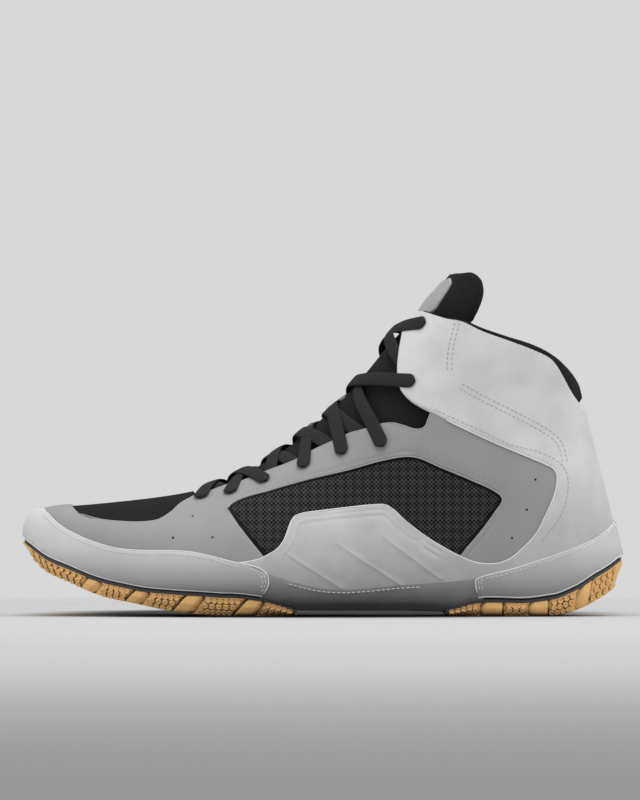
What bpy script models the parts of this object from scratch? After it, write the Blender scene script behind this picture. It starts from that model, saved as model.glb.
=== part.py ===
"""A left wrestling shoe: a high-topped laced upper over a split rubber sole.

The toe points to -X, the heel to +X, the outer (lateral) side to -Y, and +Z is up.
The shoe stands on the floor z = 0, and the middle of its box is on the Z axis.
Every layer of the upper is cut from one form, the last, at its own distance from it.
"""

import math
from collections import namedtuple

import bmesh
import bpy
import numpy as np
from mathutils import Vector
from mathutils.bvhtree import BVHTree

# Driving sizes, in metres
LENGTH = 0.290
BALL_WIDTH = 0.099
HEEL_WIDTH = 0.072
TOE_HEIGHT = 0.050
INSTEP_HEIGHT = 0.098
COLLAR_HEIGHT = 0.1467
TOE_SPRING = 0.0324
HEEL_SPRING = 0.0213
OUTSOLE_THICKNESS = 0.009
MIDSOLE_THICKNESS = 0.0015
SOLE_LIP = 0.0014
SOLE_FLARE = 0.00185
SOLE_UNDERCUT = 0.0022
FLARE_AT = 0.55
WALL = 0.0022
GAP = 0.0003
EDGE_GAP = 0.0006
PANEL_THICKNESS = 0.0007
FRAME_THICKNESS = 0.0011
RAND_THICKNESS = 0.0013
ARCH_THICKNESS = 0.0009
ARCH_GAP = 0.0005
LASTING_MARGIN = 0.012
INSOLE_THICKNESS = 0.0035
INSOLE_INSET = 0.004
LINING_THICKNESS = 0.0032
TONGUE_THICKNESS = 0.007
TONGUE_CLEARANCE = 0.0006
BADGE_THICKNESS = 0.0008
GROOVE_WIDTH = 0.0015
GROOVE_DEPTH = 0.0017
GROOVE_RIM = 0.0012
LACE_WIDTH = 0.0063
LACE_THICKNESS = 0.0013

# Shape of the form: its roundness over the toe, the lean of its middle line and the pinch above the heel
TOE_ROUNDNESS = 6
SKEW = 1.6
PINCH_AT = 0.52
PINCH_REACH = 0.16
RIDGE_STEP = 0.01

# Where the cuts of the throat's two edges meet, as a share of the ball width
THROAT_SPLIT = 0.10

# Facets of the form, and the reach of a cutter beyond the shoe
STEPS_ALONG = 22
STEPS_TO_BELLY = 2
STEPS_TO_RIDGE = 6
STEPS_UNDER = 2
LACE_STEPS = 6
LACE_UNDER_START = 0.30
LACE_UNDER_END = 0.72
LACE_WEAVE = 0.40
REACH_STEP = 0.05
HALVINGS = 12
LACE_SETTLES = 3
REACH = 0.2

# Sole: heights along the shoe. `toe` and `heel` are shares of the two springs, `rubber` is the outsole under
# the feather line as a share of its thickness, and `body` is the same for the upper where the sole is split.
SoleRow = namedtuple("SoleRow", "along toe heel rubber body")
SOLE = [
    SoleRow(0.000, 1.00, 0.00, 0.39, 0.39),
    SoleRow(0.012, 0.90, 0.00, 0.42, 0.42),
    SoleRow(0.040, 0.66, 0.00, 0.64, 0.64),
    SoleRow(0.080, 0.50, 0.00, 0.67, 0.67),
    SoleRow(0.130, 0.31, 0.00, 0.73, 0.73),
    SoleRow(0.190, 0.19, 0.00, 0.72, 0.72),
    SoleRow(0.250, 0.08, 0.00, 0.90, 0.90),
    SoleRow(0.300, 0.03, 0.00, 0.98, 0.98),
    SoleRow(0.345, 0.00, 0.00, 1.00, 1.00),
    SoleRow(0.400, 0.00, 0.00, 0.81, 0.81),
    SoleRow(0.430, 0.00, 0.00, 0.52, 0.58),
    SoleRow(0.462, 0.00, 0.00, 0.17, 0.44),
    SoleRow(0.550, 0.00, 0.00, 0.17, 0.42),
    SoleRow(0.620, 0.00, 0.00, 0.17, 0.42),
    SoleRow(0.695, 0.00, 0.00, 0.17, 0.37),
    SoleRow(0.722, 0.00, 0.00, 0.34, 0.42),
    SoleRow(0.748, 0.00, 0.00, 0.62, 0.64),
    SoleRow(0.775, 0.00, 0.00, 0.74, 0.74),
    SoleRow(0.830, 0.00, 0.00, 0.70, 0.70),
    SoleRow(0.880, 0.00, 0.00, 0.88, 0.88),
    SoleRow(0.915, 0.00, 0.10, 1.05, 1.05),
    SoleRow(0.955, 0.00, 0.35, 1.24, 1.24),
    SoleRow(0.985, 0.00, 0.62, 1.20, 1.20),
    SoleRow(1.000, 0.00, 1.00, 0.60, 0.60),
]
FOREFOOT_END = 0.462
HEEL_START = 0.697
UNDER_CLEARANCE = 0.004

# Spans of the length that the upper's openings underneath, the rands and the arch band take up
FOREFOOT_OPENING = (0.035, 0.435)
HEEL_OPENING = (0.760, 0.975)
ARCH_SPAN = (0.4145, 0.746)
INSOLE_SPAN = (0.030, 0.970)

# Sections of the last, one row each. Widths are shares of the breadth there, over the sine of the
# station's angle, so that the ends close round. `pinch` is the hollow above the heel.
LastRow = namedtuple("LastRow", "along feather lateral medial centre belly power pinch")
LAST = [
    LastRow(0.000, 0.630, 0.660, 0.660, 0.070, 0.35, 2.0, 0.00),
    LastRow(0.030, 0.635, 0.685, 0.675, 0.066, 0.35, 2.2, 0.00),
    LastRow(0.080, 0.632, 0.690, 0.680, 0.050, 0.35, 2.4, 0.00),
    LastRow(0.150, 0.587, 0.640, 0.637, 0.030, 0.34, 2.4, 0.00),
    LastRow(0.250, 0.525, 0.577, 0.566, 0.010, 0.32, 2.2, 0.00),
    LastRow(0.330, 0.484, 0.538, 0.506, -0.005, 0.30, 2.0, 0.00),
    LastRow(0.420, 0.425, 0.500, 0.450, -0.021, 0.28, 1.85, 0.00),
    LastRow(0.520, 0.380, 0.482, 0.443, -0.034, 0.26, 1.8, 0.00),
    LastRow(0.620, 0.381, 0.495, 0.482, -0.037, 0.24, 2.6, 0.00),
    LastRow(0.720, 0.432, 0.530, 0.530, -0.026, 0.23, 4.2, 0.00),
    LastRow(0.800, 0.515, 0.610, 0.615, -0.014, 0.22, 7.0, 0.03),
    LastRow(0.880, 0.625, 0.725, 0.725, 0.000, 0.22, 9.0, 0.12),
    LastRow(0.950, 0.715, 0.850, 0.850, 0.000, 0.22, 10.0, 0.15),
    LastRow(1.000, 0.760, 0.880, 0.880, 0.000, 0.22, 10.0, 0.15),
]

# Top line of the last, from the toe over vamp, instep and shin to the back of the shaft. `at` is a share
# of the length, `level` counts the named heights, and `side` is the ridge's shift as a share of the breadth.
RidgeRow = namedtuple("RidgeRow", "along at level side")
RIDGE = [
    RidgeRow(0.00, 0.038, 1.020, 0.070),
    RidgeRow(0.03, 0.062, 1.047, 0.070),
    RidgeRow(0.08, 0.105, 1.068, 0.070),
    RidgeRow(0.15, 0.165, 1.103, 0.070),
    RidgeRow(0.22, 0.228, 1.148, 0.080),
    RidgeRow(0.28, 0.285, 1.208, 0.090),
    RidgeRow(0.33, 0.342, 1.324, 0.100),
    RidgeRow(0.38, 0.395, 1.495, 0.115),
    RidgeRow(0.43, 0.445, 1.692, 0.130),
    RidgeRow(0.48, 0.490, 1.924, 0.140),
    RidgeRow(0.53, 0.532, 2.158, 0.140),
    RidgeRow(0.58, 0.568, 2.402, 0.120),
    RidgeRow(0.63, 0.602, 2.650, 0.095),
    RidgeRow(0.68, 0.642, 2.913, 0.065),
    RidgeRow(0.73, 0.688, 3.211, 0.040),
    RidgeRow(0.78, 0.738, 3.524, 0.025),
    RidgeRow(0.83, 0.792, 3.653, 0.010),
    RidgeRow(0.89, 0.842, 3.614, 0.000),
    RidgeRow(0.95, 0.873, 3.435, 0.000),
    RidgeRow(1.00, 0.883, 3.196, 0.000),
]

# Edges seen from the side: each point is a share of the length and a level of the named heights.
TOE_RAND_EDGE = [
    (0.037, 1.037), (0.042, 0.974), (0.063, 0.866), (0.098, 0.758), (0.132, 0.684), (0.180, 0.628),
    (0.251, 0.623), (0.310, 0.582), (0.370, 0.504), (0.407, 0.412), (0.411, 0.313), (0.398, 0.174),
]
HEEL_RAND_EDGE = [
    (0.755, 0.164), (0.751, 0.290), (0.751, 0.348), (0.758, 0.370), (0.805, 0.442), (0.859, 0.537),
    (0.913, 0.642), (0.950, 0.736), (0.968, 0.810), (0.985, 0.915),
]
ARCH_EDGE = [
    (0.408, 0.402), (0.443, 0.343), (0.476, 0.294), (0.498, 0.268), (0.530, 0.255), (0.573, 0.268),
    (0.626, 0.299), (0.662, 0.311), (0.751, 0.358),
]
VAMP_EDGE = [
    (0.077, 1.066), (0.098, 0.984), (0.132, 0.935), (0.166, 0.915), (0.200, 0.911), (0.227, 0.935),
    (0.247, 1.005), (0.261, 1.107), (0.288, 1.200),
]
FRAME_EDGE = [
    (0.362, 0.513), (0.392, 0.546), (0.409, 0.590), (0.424, 0.644), (0.435, 0.718), (0.447, 0.904),
    (0.464, 0.984), (0.541, 1.047), (0.603, 1.073), (0.637, 0.915), (0.671, 0.763), (0.722, 0.590),
    (0.768, 0.503), (0.790, 0.511), (0.809, 0.553), (0.830, 0.652), (0.852, 0.789), (0.868, 0.973),
    (0.885, 1.240), (0.887, 1.371), (0.868, 1.474), (0.798, 1.654), (0.678, 1.998),
]
WINDOW_EDGE = [
    (0.341, 1.047), (0.350, 1.098), (0.477, 1.336), (0.594, 1.517), (0.637, 1.561), (0.656, 1.551),
    (0.745, 1.326), (0.797, 1.158), (0.797, 1.113), (0.767, 0.851), (0.723, 0.575), (0.698, 0.640),
    (0.637, 0.890), (0.600, 1.050), (0.464, 0.960), (0.435, 0.700), (0.409, 0.580), (0.360, 0.891),
]
THROAT_LATERAL = [
    (0.285, 1.198), (0.325, 1.240), (0.364, 1.309), (0.458, 1.541), (0.542, 1.790), (0.598, 1.888),
    (0.617, 1.896), (0.657, 1.833), (0.668, 1.856), (0.678, 2.000), (0.642, 2.128), (0.625, 2.300),
    (0.626, 2.600), (0.638, 2.860), (0.657, 3.001),
]
THROAT_MEDIAL = [
    (0.285, 1.198), (0.315, 1.248), (0.362, 1.359), (0.428, 1.571), (0.488, 1.873), (0.518, 2.054),
    (0.545, 2.173), (0.562, 2.163), (0.575, 2.223), (0.587, 2.432), (0.615, 2.680), (0.657, 3.001),
]
COLLAR_EDGE = [
    (0.657, 3.001), (0.682, 2.973), (0.705, 2.930), (0.731, 2.898), (0.762, 2.809), (0.800, 2.724),
    (0.846, 2.621), (0.876, 2.530), (0.886, 2.467), (0.900, 2.330), (0.911, 2.205), (0.924, 2.096),
]
LINING_EDGE = [
    (0.790, 2.775), (0.846, 2.672), (0.876, 2.581), (0.896, 2.501), (0.915, 2.387), (0.924, 2.284),
    (0.927, 2.205),
]
TONGUE_EDGE = [
    (0.715, 3.377), (0.733, 3.395), (0.750, 3.406), (0.761, 3.360), (0.765, 3.298), (0.763, 3.206),
    (0.756, 3.092), (0.743, 2.990), (0.730, 2.800), (0.700, 2.250), (0.690, 1.700), (0.600, 1.500),
    (0.520, 1.430), (0.440, 1.250), (0.350, 1.080), (0.300, 1.060),
]
BADGE_EDGE = [
    (0.712, 3.365), (0.715, 3.298), (0.709, 3.229), (0.699, 3.144), (0.680, 3.040), (0.600, 3.040),
]

# Grooves between the lugs: where each meets the top and the bottom of the outsole, as shares of the length
FOREFOOT_GROOVES = [
    (0.108, 0.095), (0.130, 0.115), (0.187, 0.168), (0.210, 0.193), (0.272, 0.247), (0.302, 0.280),
    (0.374, 0.348), (0.401, 0.385),
]
HEEL_GROOVES = [(0.768, 0.766), (0.802, 0.801), (0.848, 0.847), (0.877, 0.877), (0.930, 0.926), (0.951, 0.944)]

# Lace holes on both sides of the throat, and the end that shows on top at each crossing, from the toe up
LATERAL_HOLES = [
    (0.297, 1.138), (0.346, 1.188), (0.403, 1.309), (0.468, 1.455), (0.533, 1.596), (0.599, 1.682),
    (0.649, 2.307), (0.668, 2.879),
]
MEDIAL_HOLES = [
    (0.300, 1.148), (0.348, 1.228), (0.405, 1.379), (0.465, 1.611), (0.512, 1.883), (0.550, 2.044),
    (0.615, 2.342), (0.662, 2.819),
]
LATERAL_ON_TOP = [
    (True, False), (True, True), (False, False), (True, False), (True, False), (True, True), (False, True),
]

MATERIALS = {
    "mesh": ((0.025, 0.025, 0.027), 0.85),
    "grey": ((0.32, 0.32, 0.32), 0.75),
    "white": ((0.66, 0.66, 0.66), 0.65),
    "arch": ((0.22, 0.22, 0.22), 0.75),
    "lining": ((0.027, 0.028, 0.034), 0.9),
    "foam": ((0.07, 0.08, 0.09), 0.8),
    "gum": ((0.58, 0.30, 0.075), 0.55),
    "lace": ((0.03, 0.03, 0.032), 0.85),
    "badge": ((0.42, 0.42, 0.43), 0.45),
}


def material(name):
    """The Principled material of that name, made once."""
    found = bpy.data.materials.get(name)
    if found is None:
        found = bpy.data.materials.new(name)
        found.use_nodes = True
        colour, roughness = MATERIALS[name]
        shader = found.node_tree.nodes["Principled BSDF"]
        shader.inputs["Base Color"].default_value = (*colour, 1.0)
        shader.inputs["Roughness"].default_value = roughness
        shader.inputs["Metallic"].default_value = 0.0
    return found


def angle_of(share):
    """The station's angle, 0 at the toe and pi at the heel, for a share of the length."""
    return math.acos(max(-1.0, min(1.0, 1.0 - 2.0 * share)))


def eased(rows, column, share):
    """A column of a table read between its rows by a smooth curve that doesn't overshoot."""
    keys = [angle_of(row.along) for row in rows]
    values = [getattr(row, column) for row in rows]
    where = min(max(angle_of(share), keys[0]), keys[-1])
    i = min(int(np.searchsorted(keys, where, side="right")) - 1, len(keys) - 2)
    steps = [keys[k + 1] - keys[k] for k in range(len(keys) - 1)]
    slopes = [(values[k + 1] - values[k]) / steps[k] for k in range(len(steps))]

    def tangent(k):
        if k == 0 or k == len(keys) - 1:
            return 0.0
        before, after = slopes[k - 1], slopes[k]
        if before * after <= 0:
            return 0.0
        return 2 * before * after / (before + after)

    t = (where - keys[i]) / steps[i]
    low, high = values[i], values[i + 1]
    rise = steps[i]
    return (
        low * (1 + 2 * t) * (1 - t) ** 2
        + high * t * t * (3 - 2 * t)
        + rise * (tangent(i) * t * (1 - t) ** 2 - tangent(i + 1) * t * t * (1 - t))
    )


def height(level):
    """Metres above the floor for a level: 1 is the toe box, 2 the instep and 3 the collar."""
    heights = (0.0, TOE_HEIGHT, INSTEP_HEIGHT, COLLAR_HEIGHT)
    low = max(0, min(2, int(math.floor(level))))
    return heights[low] + (level - low) * (heights[low + 1] - heights[low])


def along_x(share):
    return (share - 0.5) * LENGTH


def share_of(x):
    return min(1.0, max(0.0, x / LENGTH + 0.5))


def side_point(point):
    """(x, z) in metres of a point of an edge."""
    return along_x(point[0]), height(point[1])


def breadth(share):
    """The width that the sections' shares are of: the ball's in front, the heel's behind."""
    t = min(1.0, max(0.0, (share - 0.35) / 0.5))
    return BALL_WIDTH + (HEEL_WIDTH - BALL_WIDTH) * t * t * (3 - 2 * t)


def sole_bottom(share):
    return TOE_SPRING * eased(SOLE, "toe", share) + HEEL_SPRING * eased(SOLE, "heel", share)


def rubber_top(share):
    return sole_bottom(share) + OUTSOLE_THICKNESS * eased(SOLE, "rubber", share)


def feather(share):
    """Height of the feather line, where upper and sole meet."""
    layers = MIDSOLE_THICKNESS + 2 * GAP
    return sole_bottom(share) + OUTSOLE_THICKNESS * eased(SOLE, "body", share) + layers


TOE_X = -LENGTH / 2 + SOLE_FLARE
HEEL_X = LENGTH / 2 - SOLE_FLARE


def reach_stations():
    """The heights on each rib of the last that carry its facets' corners."""
    low = [k / STEPS_TO_BELLY for k in range(STEPS_TO_BELLY)]
    return low + [1 + k / STEPS_TO_RIDGE for k in range(STEPS_TO_RIDGE + 1)]


def share_stations():
    """The ribs of the last that carry its facets' corners, closest together at the toe and the heel."""
    return [(1 - math.cos(math.pi * i / STEPS_ALONG)) / 2 for i in range(STEPS_ALONG + 1)]


def stations_between(start, end):
    """The ribs of the last inside a span of the length, with both ends of the span."""
    near = 0.002
    return [start] + [share for share in share_stations() if start + near < share < end - near] + [end]


def on_facet(share, point_at):
    """A point between two ribs, on the straight line that joins theirs, so that layers stay clear of each other."""
    stations = share_stations()
    after = next((k for k, station in enumerate(stations) if station >= share), len(stations) - 1)
    before = max(0, after - 1)
    span = stations[after] - stations[before]
    t = (share - stations[before]) / span if span else 1.0
    return tuple(a + (b - a) * t for a, b in zip(point_at(stations[before]), point_at(stations[after])))


def line_share(share):
    """Share of the whole length at a rib's foot, where the sole's heights are read."""
    return share_of(TOE_X + share * (HEEL_X - TOE_X))


def foot_height(level, x):
    """A height of the sole at x, read on the straight lines between the ribs' feet."""
    share = min(1.0, max(0.0, (x - TOE_X) / (HEEL_X - TOE_X)))
    return on_facet(share, lambda rib: (level(line_share(rib)),))[0]


def plan(share, grow):
    """(x, low y, high y) of the feather line's outline, grown by a distance."""
    sine = math.sin(angle_of(share))
    half = (eased(LAST, "feather", share) * breadth(share) + grow) * sine
    middle = eased(LAST, "centre", share) * breadth(share)
    x = TOE_X - grow + share * (HEEL_X - TOE_X + 2 * grow)
    return x, middle - half, middle + half


def ridge_point(share, grow):
    """(x, z) of the last's top line, moved out by a distance in the side view."""
    x, z = along_x(eased(RIDGE, "at", share)), height(eased(RIDGE, "level", share))
    before, after = max(0.0, share - RIDGE_STEP), min(1.0, share + RIDGE_STEP)
    run = along_x(eased(RIDGE, "at", after)) - along_x(eased(RIDGE, "at", before))
    climb = height(eased(RIDGE, "level", after)) - height(eased(RIDGE, "level", before))
    size = math.hypot(run, climb)
    return x - climb / size * grow, z + run / size * grow


def last_point(share, reach, side, grow, drop=None):
    """A point of the last grown by a distance. `reach` runs from 0 at the feather line over 1 at the widest place
    to 2 on the ridge, and `drop` is how far the feather line is lowered, the distance itself if not given."""
    width = breadth(share)
    angle = angle_of(share)
    sine = math.sin(angle)
    low_half = (eased(LAST, "feather", share) * width + grow) * sine
    wide_half = (eased(LAST, "lateral" if side < 0 else "medial", share) * width + grow) * sine
    belly_at = eased(LAST, "belly", share)
    if reach > 1:
        power = eased(LAST, "power", share)
        climb = math.sin((reach - 1) * math.pi / 2)
        up = belly_at + (1 - belly_at) * climb
        half = wide_half * max(0.0, 1 - climb**power) ** (1 / power)
    else:
        turn = reach * math.pi / 2
        up = belly_at * (1 - math.cos(turn))
        half = low_half + (wide_half - low_half) * math.sin(turn)
    half *= 1 - eased(LAST, "pinch", share) * math.exp(-(((up - PINCH_AT) / PINCH_REACH) ** 2))
    base_x = TOE_X - grow + share * (HEEL_X - TOE_X + 2 * grow)
    base_z = foot_height(feather, base_x) - (max(grow, -WALL) if drop is None else drop)
    top_x, top_z = ridge_point(share, grow)
    round_toe = max(0.0, math.cos(angle)) ** TOE_ROUNDNESS
    forward = round_toe * (1 - math.sqrt(max(0.0, 1 - up * up))) + (1 - round_toe) * up
    middle_low = eased(LAST, "centre", share) * width
    middle_top = eased(RIDGE, "side", share) * width
    middle = middle_low + (middle_top - middle_low) * up**SKEW
    return (
        base_x + (top_x - base_x) * forward,
        middle + side * half,
        base_z + (top_z - base_z) * up,
    )


def facet_point(share, reach, side, grow, drop=None):
    """A point on the flat facets between two ribs of the last."""
    return on_facet(share, lambda rib: last_point(rib, reach, side, grow, drop))


def section(share, grow, drop):
    """One ring of the last, from the ridge down the lateral side, under the foot and up the medial side."""
    lateral = [last_point(share, reach, -1, grow, drop) for reach in reach_stations()]
    medial = [last_point(share, reach, 1, grow, drop) for reach in reach_stations()]
    start, end = lateral[0], medial[0]
    under = [
        tuple(start[a] + (end[a] - start[a]) * k / STEPS_UNDER for a in range(3))
        for k in range(1, STEPS_UNDER)
    ]
    return lateral[::-1] + under + medial[:-1]


def mesh_of_rings(rings):
    """A closed mesh through rings whose first and last fold flat onto a line."""
    bm = bmesh.new()
    rows = [[bm.verts.new(point) for point in ring] for ring in rings]
    count = len(rings[0])
    for first, second in zip(rows, rows[1:]):
        for k in range(count):
            m = (k + 1) % count
            bm.faces.new((first[k], first[m], second[m], second[k]))
    return bm


def finished(bm, name, material_name):
    """An object from a mesh, closed, triangulated and facing out."""
    bmesh.ops.remove_doubles(bm, verts=bm.verts, dist=1e-6)
    bmesh.ops.dissolve_degenerate(bm, dist=1e-6, edges=bm.edges)
    bmesh.ops.triangulate(bm, faces=bm.faces)
    bmesh.ops.recalc_face_normals(bm, faces=bm.faces)
    if bm.calc_volume(signed=True) < 0:
        bmesh.ops.reverse_faces(bm, faces=bm.faces)
    mesh = bpy.data.meshes.new(name)
    bm.to_mesh(mesh)
    bm.free()
    mesh.materials.append(material(material_name))
    obj = bpy.data.objects.new(name, mesh)
    bpy.context.collection.objects.link(obj)
    return obj


def form_mesh(distance, drop=None):
    """The last, grown (or shrunk, below zero) by a distance."""
    bm = mesh_of_rings([section(share, distance, drop) for share in share_stations()])
    bmesh.ops.remove_doubles(bm, verts=bm.verts, dist=1e-6)
    bmesh.ops.recalc_face_normals(bm, faces=bm.faces)
    if bm.calc_volume(signed=True) < 0:
        bmesh.ops.reverse_faces(bm, faces=bm.faces)
    return bm


def form(distance, name="form", material_name="mesh", drop=None):
    return finished(form_mesh(distance, drop), name, material_name)


def carve(obj, cutter, operation):
    """Applies a Boolean straight away and removes the cutter."""
    modifier = obj.modifiers.new("carve", "BOOLEAN")
    modifier.object = cutter
    modifier.operation = operation
    modifier.solver = "EXACT"
    graph = bpy.context.evaluated_depsgraph_get()
    mesh = bpy.data.meshes.new_from_object(obj.evaluated_get(graph))
    obj.modifiers.clear()
    obj.data = mesh
    bpy.data.objects.remove(cutter)
    return obj


def prism(points, low_y=-REACH, high_y=REACH):
    """A cutter: an outline of (x, z) points, run across the shoe."""
    bm = bmesh.new()
    near = [bm.verts.new((x, low_y, z)) for x, z in points]
    far = [bm.verts.new((x, high_y, z)) for x, z in points]
    bm.faces.new(near)
    bm.faces.new(far[::-1])
    count = len(points)
    for k in range(count):
        m = (k + 1) % count
        bm.faces.new((near[m], near[k], far[k], far[m]))
    return finished(bm, "cutter", "mesh")


def grown(points, distance):
    """An outline moved outward by a distance, each corner along the mean of its two sides' normals."""
    area = sum(a[0] * b[1] - b[0] * a[1] for a, b in zip(points, points[1:] + points[:1]))
    turn = 1 if area > 0 else -1
    result = []
    for k, point in enumerate(points):
        before, after = Vector(points[k - 1]), Vector(points[(k + 1) % len(points)])
        here = Vector(point)
        first, second = (here - before).normalized(), (after - here).normalized()
        normal = Vector((first.y + second.y, -first.x - second.x)) * turn
        normal.normalize()
        lean = max(0.5, normal.dot(Vector((first.y, -first.x)) * turn))
        result.append(tuple(here + normal * distance / lean))
    return result


# Heights and places clear of the shoe, where the layers' outlines are closed
BELOW = -0.03
ABOVE = 0.25
AHEAD = -0.17
BEHIND = 0.17

# Where the layers' outlines turn off to those places: shares of the length, and levels of height
COLLAR_CLOSE, COLLAR_BACK_LEVEL = 0.657, 2.08
TOE_RAND_REAR, TOE_TIP_LEVEL = 0.398, 1.037
HEEL_RAND_FRONT, HEEL_BACK_LEVEL = 0.755, 0.915
ARCH_FRONT, ARCH_FRONT_LEVEL, ARCH_REAR = 0.380, 0.44, 0.78
VAMP_REAR, VAMP_FRONT = 0.288, 0.077
FRAME_START, FRAME_FRONT, FRAME_FRONT_LEVEL = 0.362, 0.570, 2.19
LINING_BACK_LEVEL, LINING_LOW_LEVEL, LINING_CORNER = 2.205, 1.45, (0.80, 1.9)
TONGUE_FRONT, TONGUE_CLOSE = 0.300, 0.60
BADGE_FRONT, BADGE_REAR = 0.600, 0.712


def edge(points):
    return [side_point(point) for point in points]


def throat_region(points):
    """Everything in front of and above one edge of the throat."""
    line = edge(points)
    return [(line[0][0], ABOVE)] + line + [(line[-1][0], ABOVE)]


def throat_cut(obj, clearance=0.0):
    """Opens the throat, whose two edges differ, by a cut on each side of the ridge."""
    middle = BALL_WIDTH * THROAT_SPLIT
    for points, low_y, high_y in ((THROAT_LATERAL, -REACH, middle), (THROAT_MEDIAL, middle, REACH)):
        carve(obj, prism(grown(throat_region(points), clearance), low_y, high_y), "DIFFERENCE")


def collar_region():
    return edge(COLLAR_EDGE) + [(BEHIND, height(COLLAR_BACK_LEVEL)), (BEHIND, ABOVE), (along_x(COLLAR_CLOSE), ABOVE)]


def toe_region():
    tip, rear = (AHEAD, height(TOE_TIP_LEVEL)), (along_x(TOE_RAND_REAR), BELOW)
    return [tip] + edge(TOE_RAND_EDGE) + [rear, (AHEAD, BELOW)]


def heel_region():
    front, back = (along_x(HEEL_RAND_FRONT), BELOW), (BEHIND, height(HEEL_BACK_LEVEL))
    return [front] + edge(HEEL_RAND_EDGE) + [back, (BEHIND, BELOW)]


def arch_region():
    front = along_x(ARCH_FRONT)
    return [(front, BELOW), (front, height(ARCH_FRONT_LEVEL))] + edge(ARCH_EDGE) + [(along_x(ARCH_REAR), BELOW)]


def vamp_region():
    return edge(VAMP_EDGE) + [(along_x(VAMP_REAR), ABOVE), (along_x(VAMP_FRONT), ABOVE)]


def frame_region():
    start, front = along_x(FRAME_START), along_x(FRAME_FRONT)
    rear = [(front, height(FRAME_FRONT_LEVEL)), (front, ABOVE), (BEHIND, ABOVE), (BEHIND, BELOW), (start, BELOW)]
    return edge(FRAME_EDGE) + rear


def layer(name, material_name, thickness, region, away):
    """An overlay: the last between two distances, inside its own outline and clear of its neighbours'."""
    obj = form(GAP + thickness, name, material_name)
    carve(obj, form(GAP), "DIFFERENCE")
    if region:
        carve(obj, prism(region), "INTERSECT")
    for other in away:
        carve(obj, prism(grown(other, EDGE_GAP)), "DIFFERENCE")
    return obj


def slab(name, material_name, start, end, rows, inset=0.0):
    """A layer of the sole between two shares of the length, narrowed on both sides by `inset`. Each row is
    (growth, height at a share), in order from the top's edge down to the bottom's edge."""

    def corner(rib, grow, level, side):
        x, low_y, high_y = plan(rib, grow)
        return x, (low_y + inset if side < 0 else high_y - inset), foot_height(level, x)

    rings = []
    for share in stations_between(start, end):
        lateral = [on_facet(share, lambda rib, g=grow, f=level: corner(rib, g, f, -1)) for grow, level in rows]
        medial = [on_facet(share, lambda rib, g=grow, f=level: corner(rib, g, f, 1)) for grow, level in rows]
        rings.append(lateral + medial[::-1])
    bm = mesh_of_rings(rings)
    for ring_index in (0, -1):
        if 0 < (start, end)[ring_index] < 1:
            bm.verts.ensure_lookup_table()
            count = len(rings[0])
            base = 0 if ring_index == 0 else len(rings) * count - count
            bm.faces.new([bm.verts[base + k] for k in range(count)])
    return finished(bm, name, material_name)


def groove_cutters(grooves):
    """Slanted slots right across the sole, from a rim under its top edge to below the floor."""
    bm = bmesh.new()
    for top_share, bottom_share in grooves:
        top_x, bottom_x = along_x(top_share), along_x(bottom_share)
        top_z = rubber_top(top_share) - GROOVE_RIM
        bottom_z = sole_bottom(bottom_share)
        lean = (top_x - bottom_x) / (top_z - bottom_z)
        low_z = bottom_z - OUTSOLE_THICKNESS / 2
        low_x = top_x + (low_z - top_z) * lean
        half = GROOVE_WIDTH / 2 * math.hypot(1, lean)
        outline = [(low_x - half, low_z), (low_x + half, low_z), (top_x + half, top_z), (top_x - half, top_z)]
        near = [bm.verts.new((x, -REACH, z)) for x, z in outline]
        far = [bm.verts.new((x, REACH, z)) for x, z in outline]
        bm.faces.new(near)
        bm.faces.new(far[::-1])
        for k in range(4):
            m = (k + 1) % 4
            bm.faces.new((near[m], near[k], far[k], far[m]))
    return finished(bm, "grooves", "gum")


def outsole(name, start, end, grooves):
    """Rubber with a flared side, and lugs parted by slanted grooves that run under it."""

    def at(share_up):
        def level(share):
            return sole_bottom(share) + (rubber_top(share) - sole_bottom(share)) * share_up

        return level

    rows = [(SOLE_LIP, at(1.0)), (SOLE_FLARE, at(FLARE_AT)), (SOLE_LIP - SOLE_UNDERCUT, at(0.0))]
    rubber = slab(name, "gum", start, end, rows)
    core_rows = [
        (SOLE_LIP - GROOVE_DEPTH, lambda share: rubber_top(share) + OUTSOLE_THICKNESS),
        (SOLE_FLARE - GROOVE_DEPTH, at(FLARE_AT)),
        (
            SOLE_LIP - SOLE_UNDERCUT - GROOVE_DEPTH,
            lambda share: sole_bottom(share) + GROOVE_DEPTH * eased(SOLE, "rubber", share),
        ),
    ]
    core = slab("core", "gum", start, end, core_rows)
    slots = groove_cutters(grooves)
    carve(slots, core, "DIFFERENCE")
    return carve(rubber, slots, "DIFFERENCE")


def midsole(name, start, end, plug_start, plug_end):
    """The dark strip over the rubber, with a pad that fills the upper's opening underneath."""
    rows = [(SOLE_LIP / 2, lambda share: feather(share) - GAP), (SOLE_LIP, lambda share: rubber_top(share) + GAP)]
    strip = slab(name, "foam", start, end, rows)
    pad_rows = [(0.0, lambda share: feather(share) + WALL - GAP), (0.0, lambda share: feather(share) - GAP * 2)]
    gap = GAP / (HEEL_X - TOE_X)
    pad = slab("pad", "foam", plug_start + gap, plug_end - gap, pad_rows, LASTING_MARGIN + GAP)
    return carve(strip, pad, "UNION")


def underside_cut(obj, span):
    """Opens the upper inside its lasting margin, over a span of the length."""
    rows = [(0.0, lambda share: feather(share) + 3 * WALL), (0.0, lambda share: feather(share) - 2 * WALL)]
    return carve(obj, slab("opening", "mesh", *span, rows, LASTING_MARGIN), "DIFFERENCE")


def make_upper():
    upper = form(0.0, "upper", "mesh")
    carve(upper, form(-WALL), "DIFFERENCE")
    throat_cut(upper)
    carve(upper, prism(collar_region()), "DIFFERENCE")
    for span in (FOREFOOT_OPENING, HEEL_OPENING):
        underside_cut(upper, span)
    return upper


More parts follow.
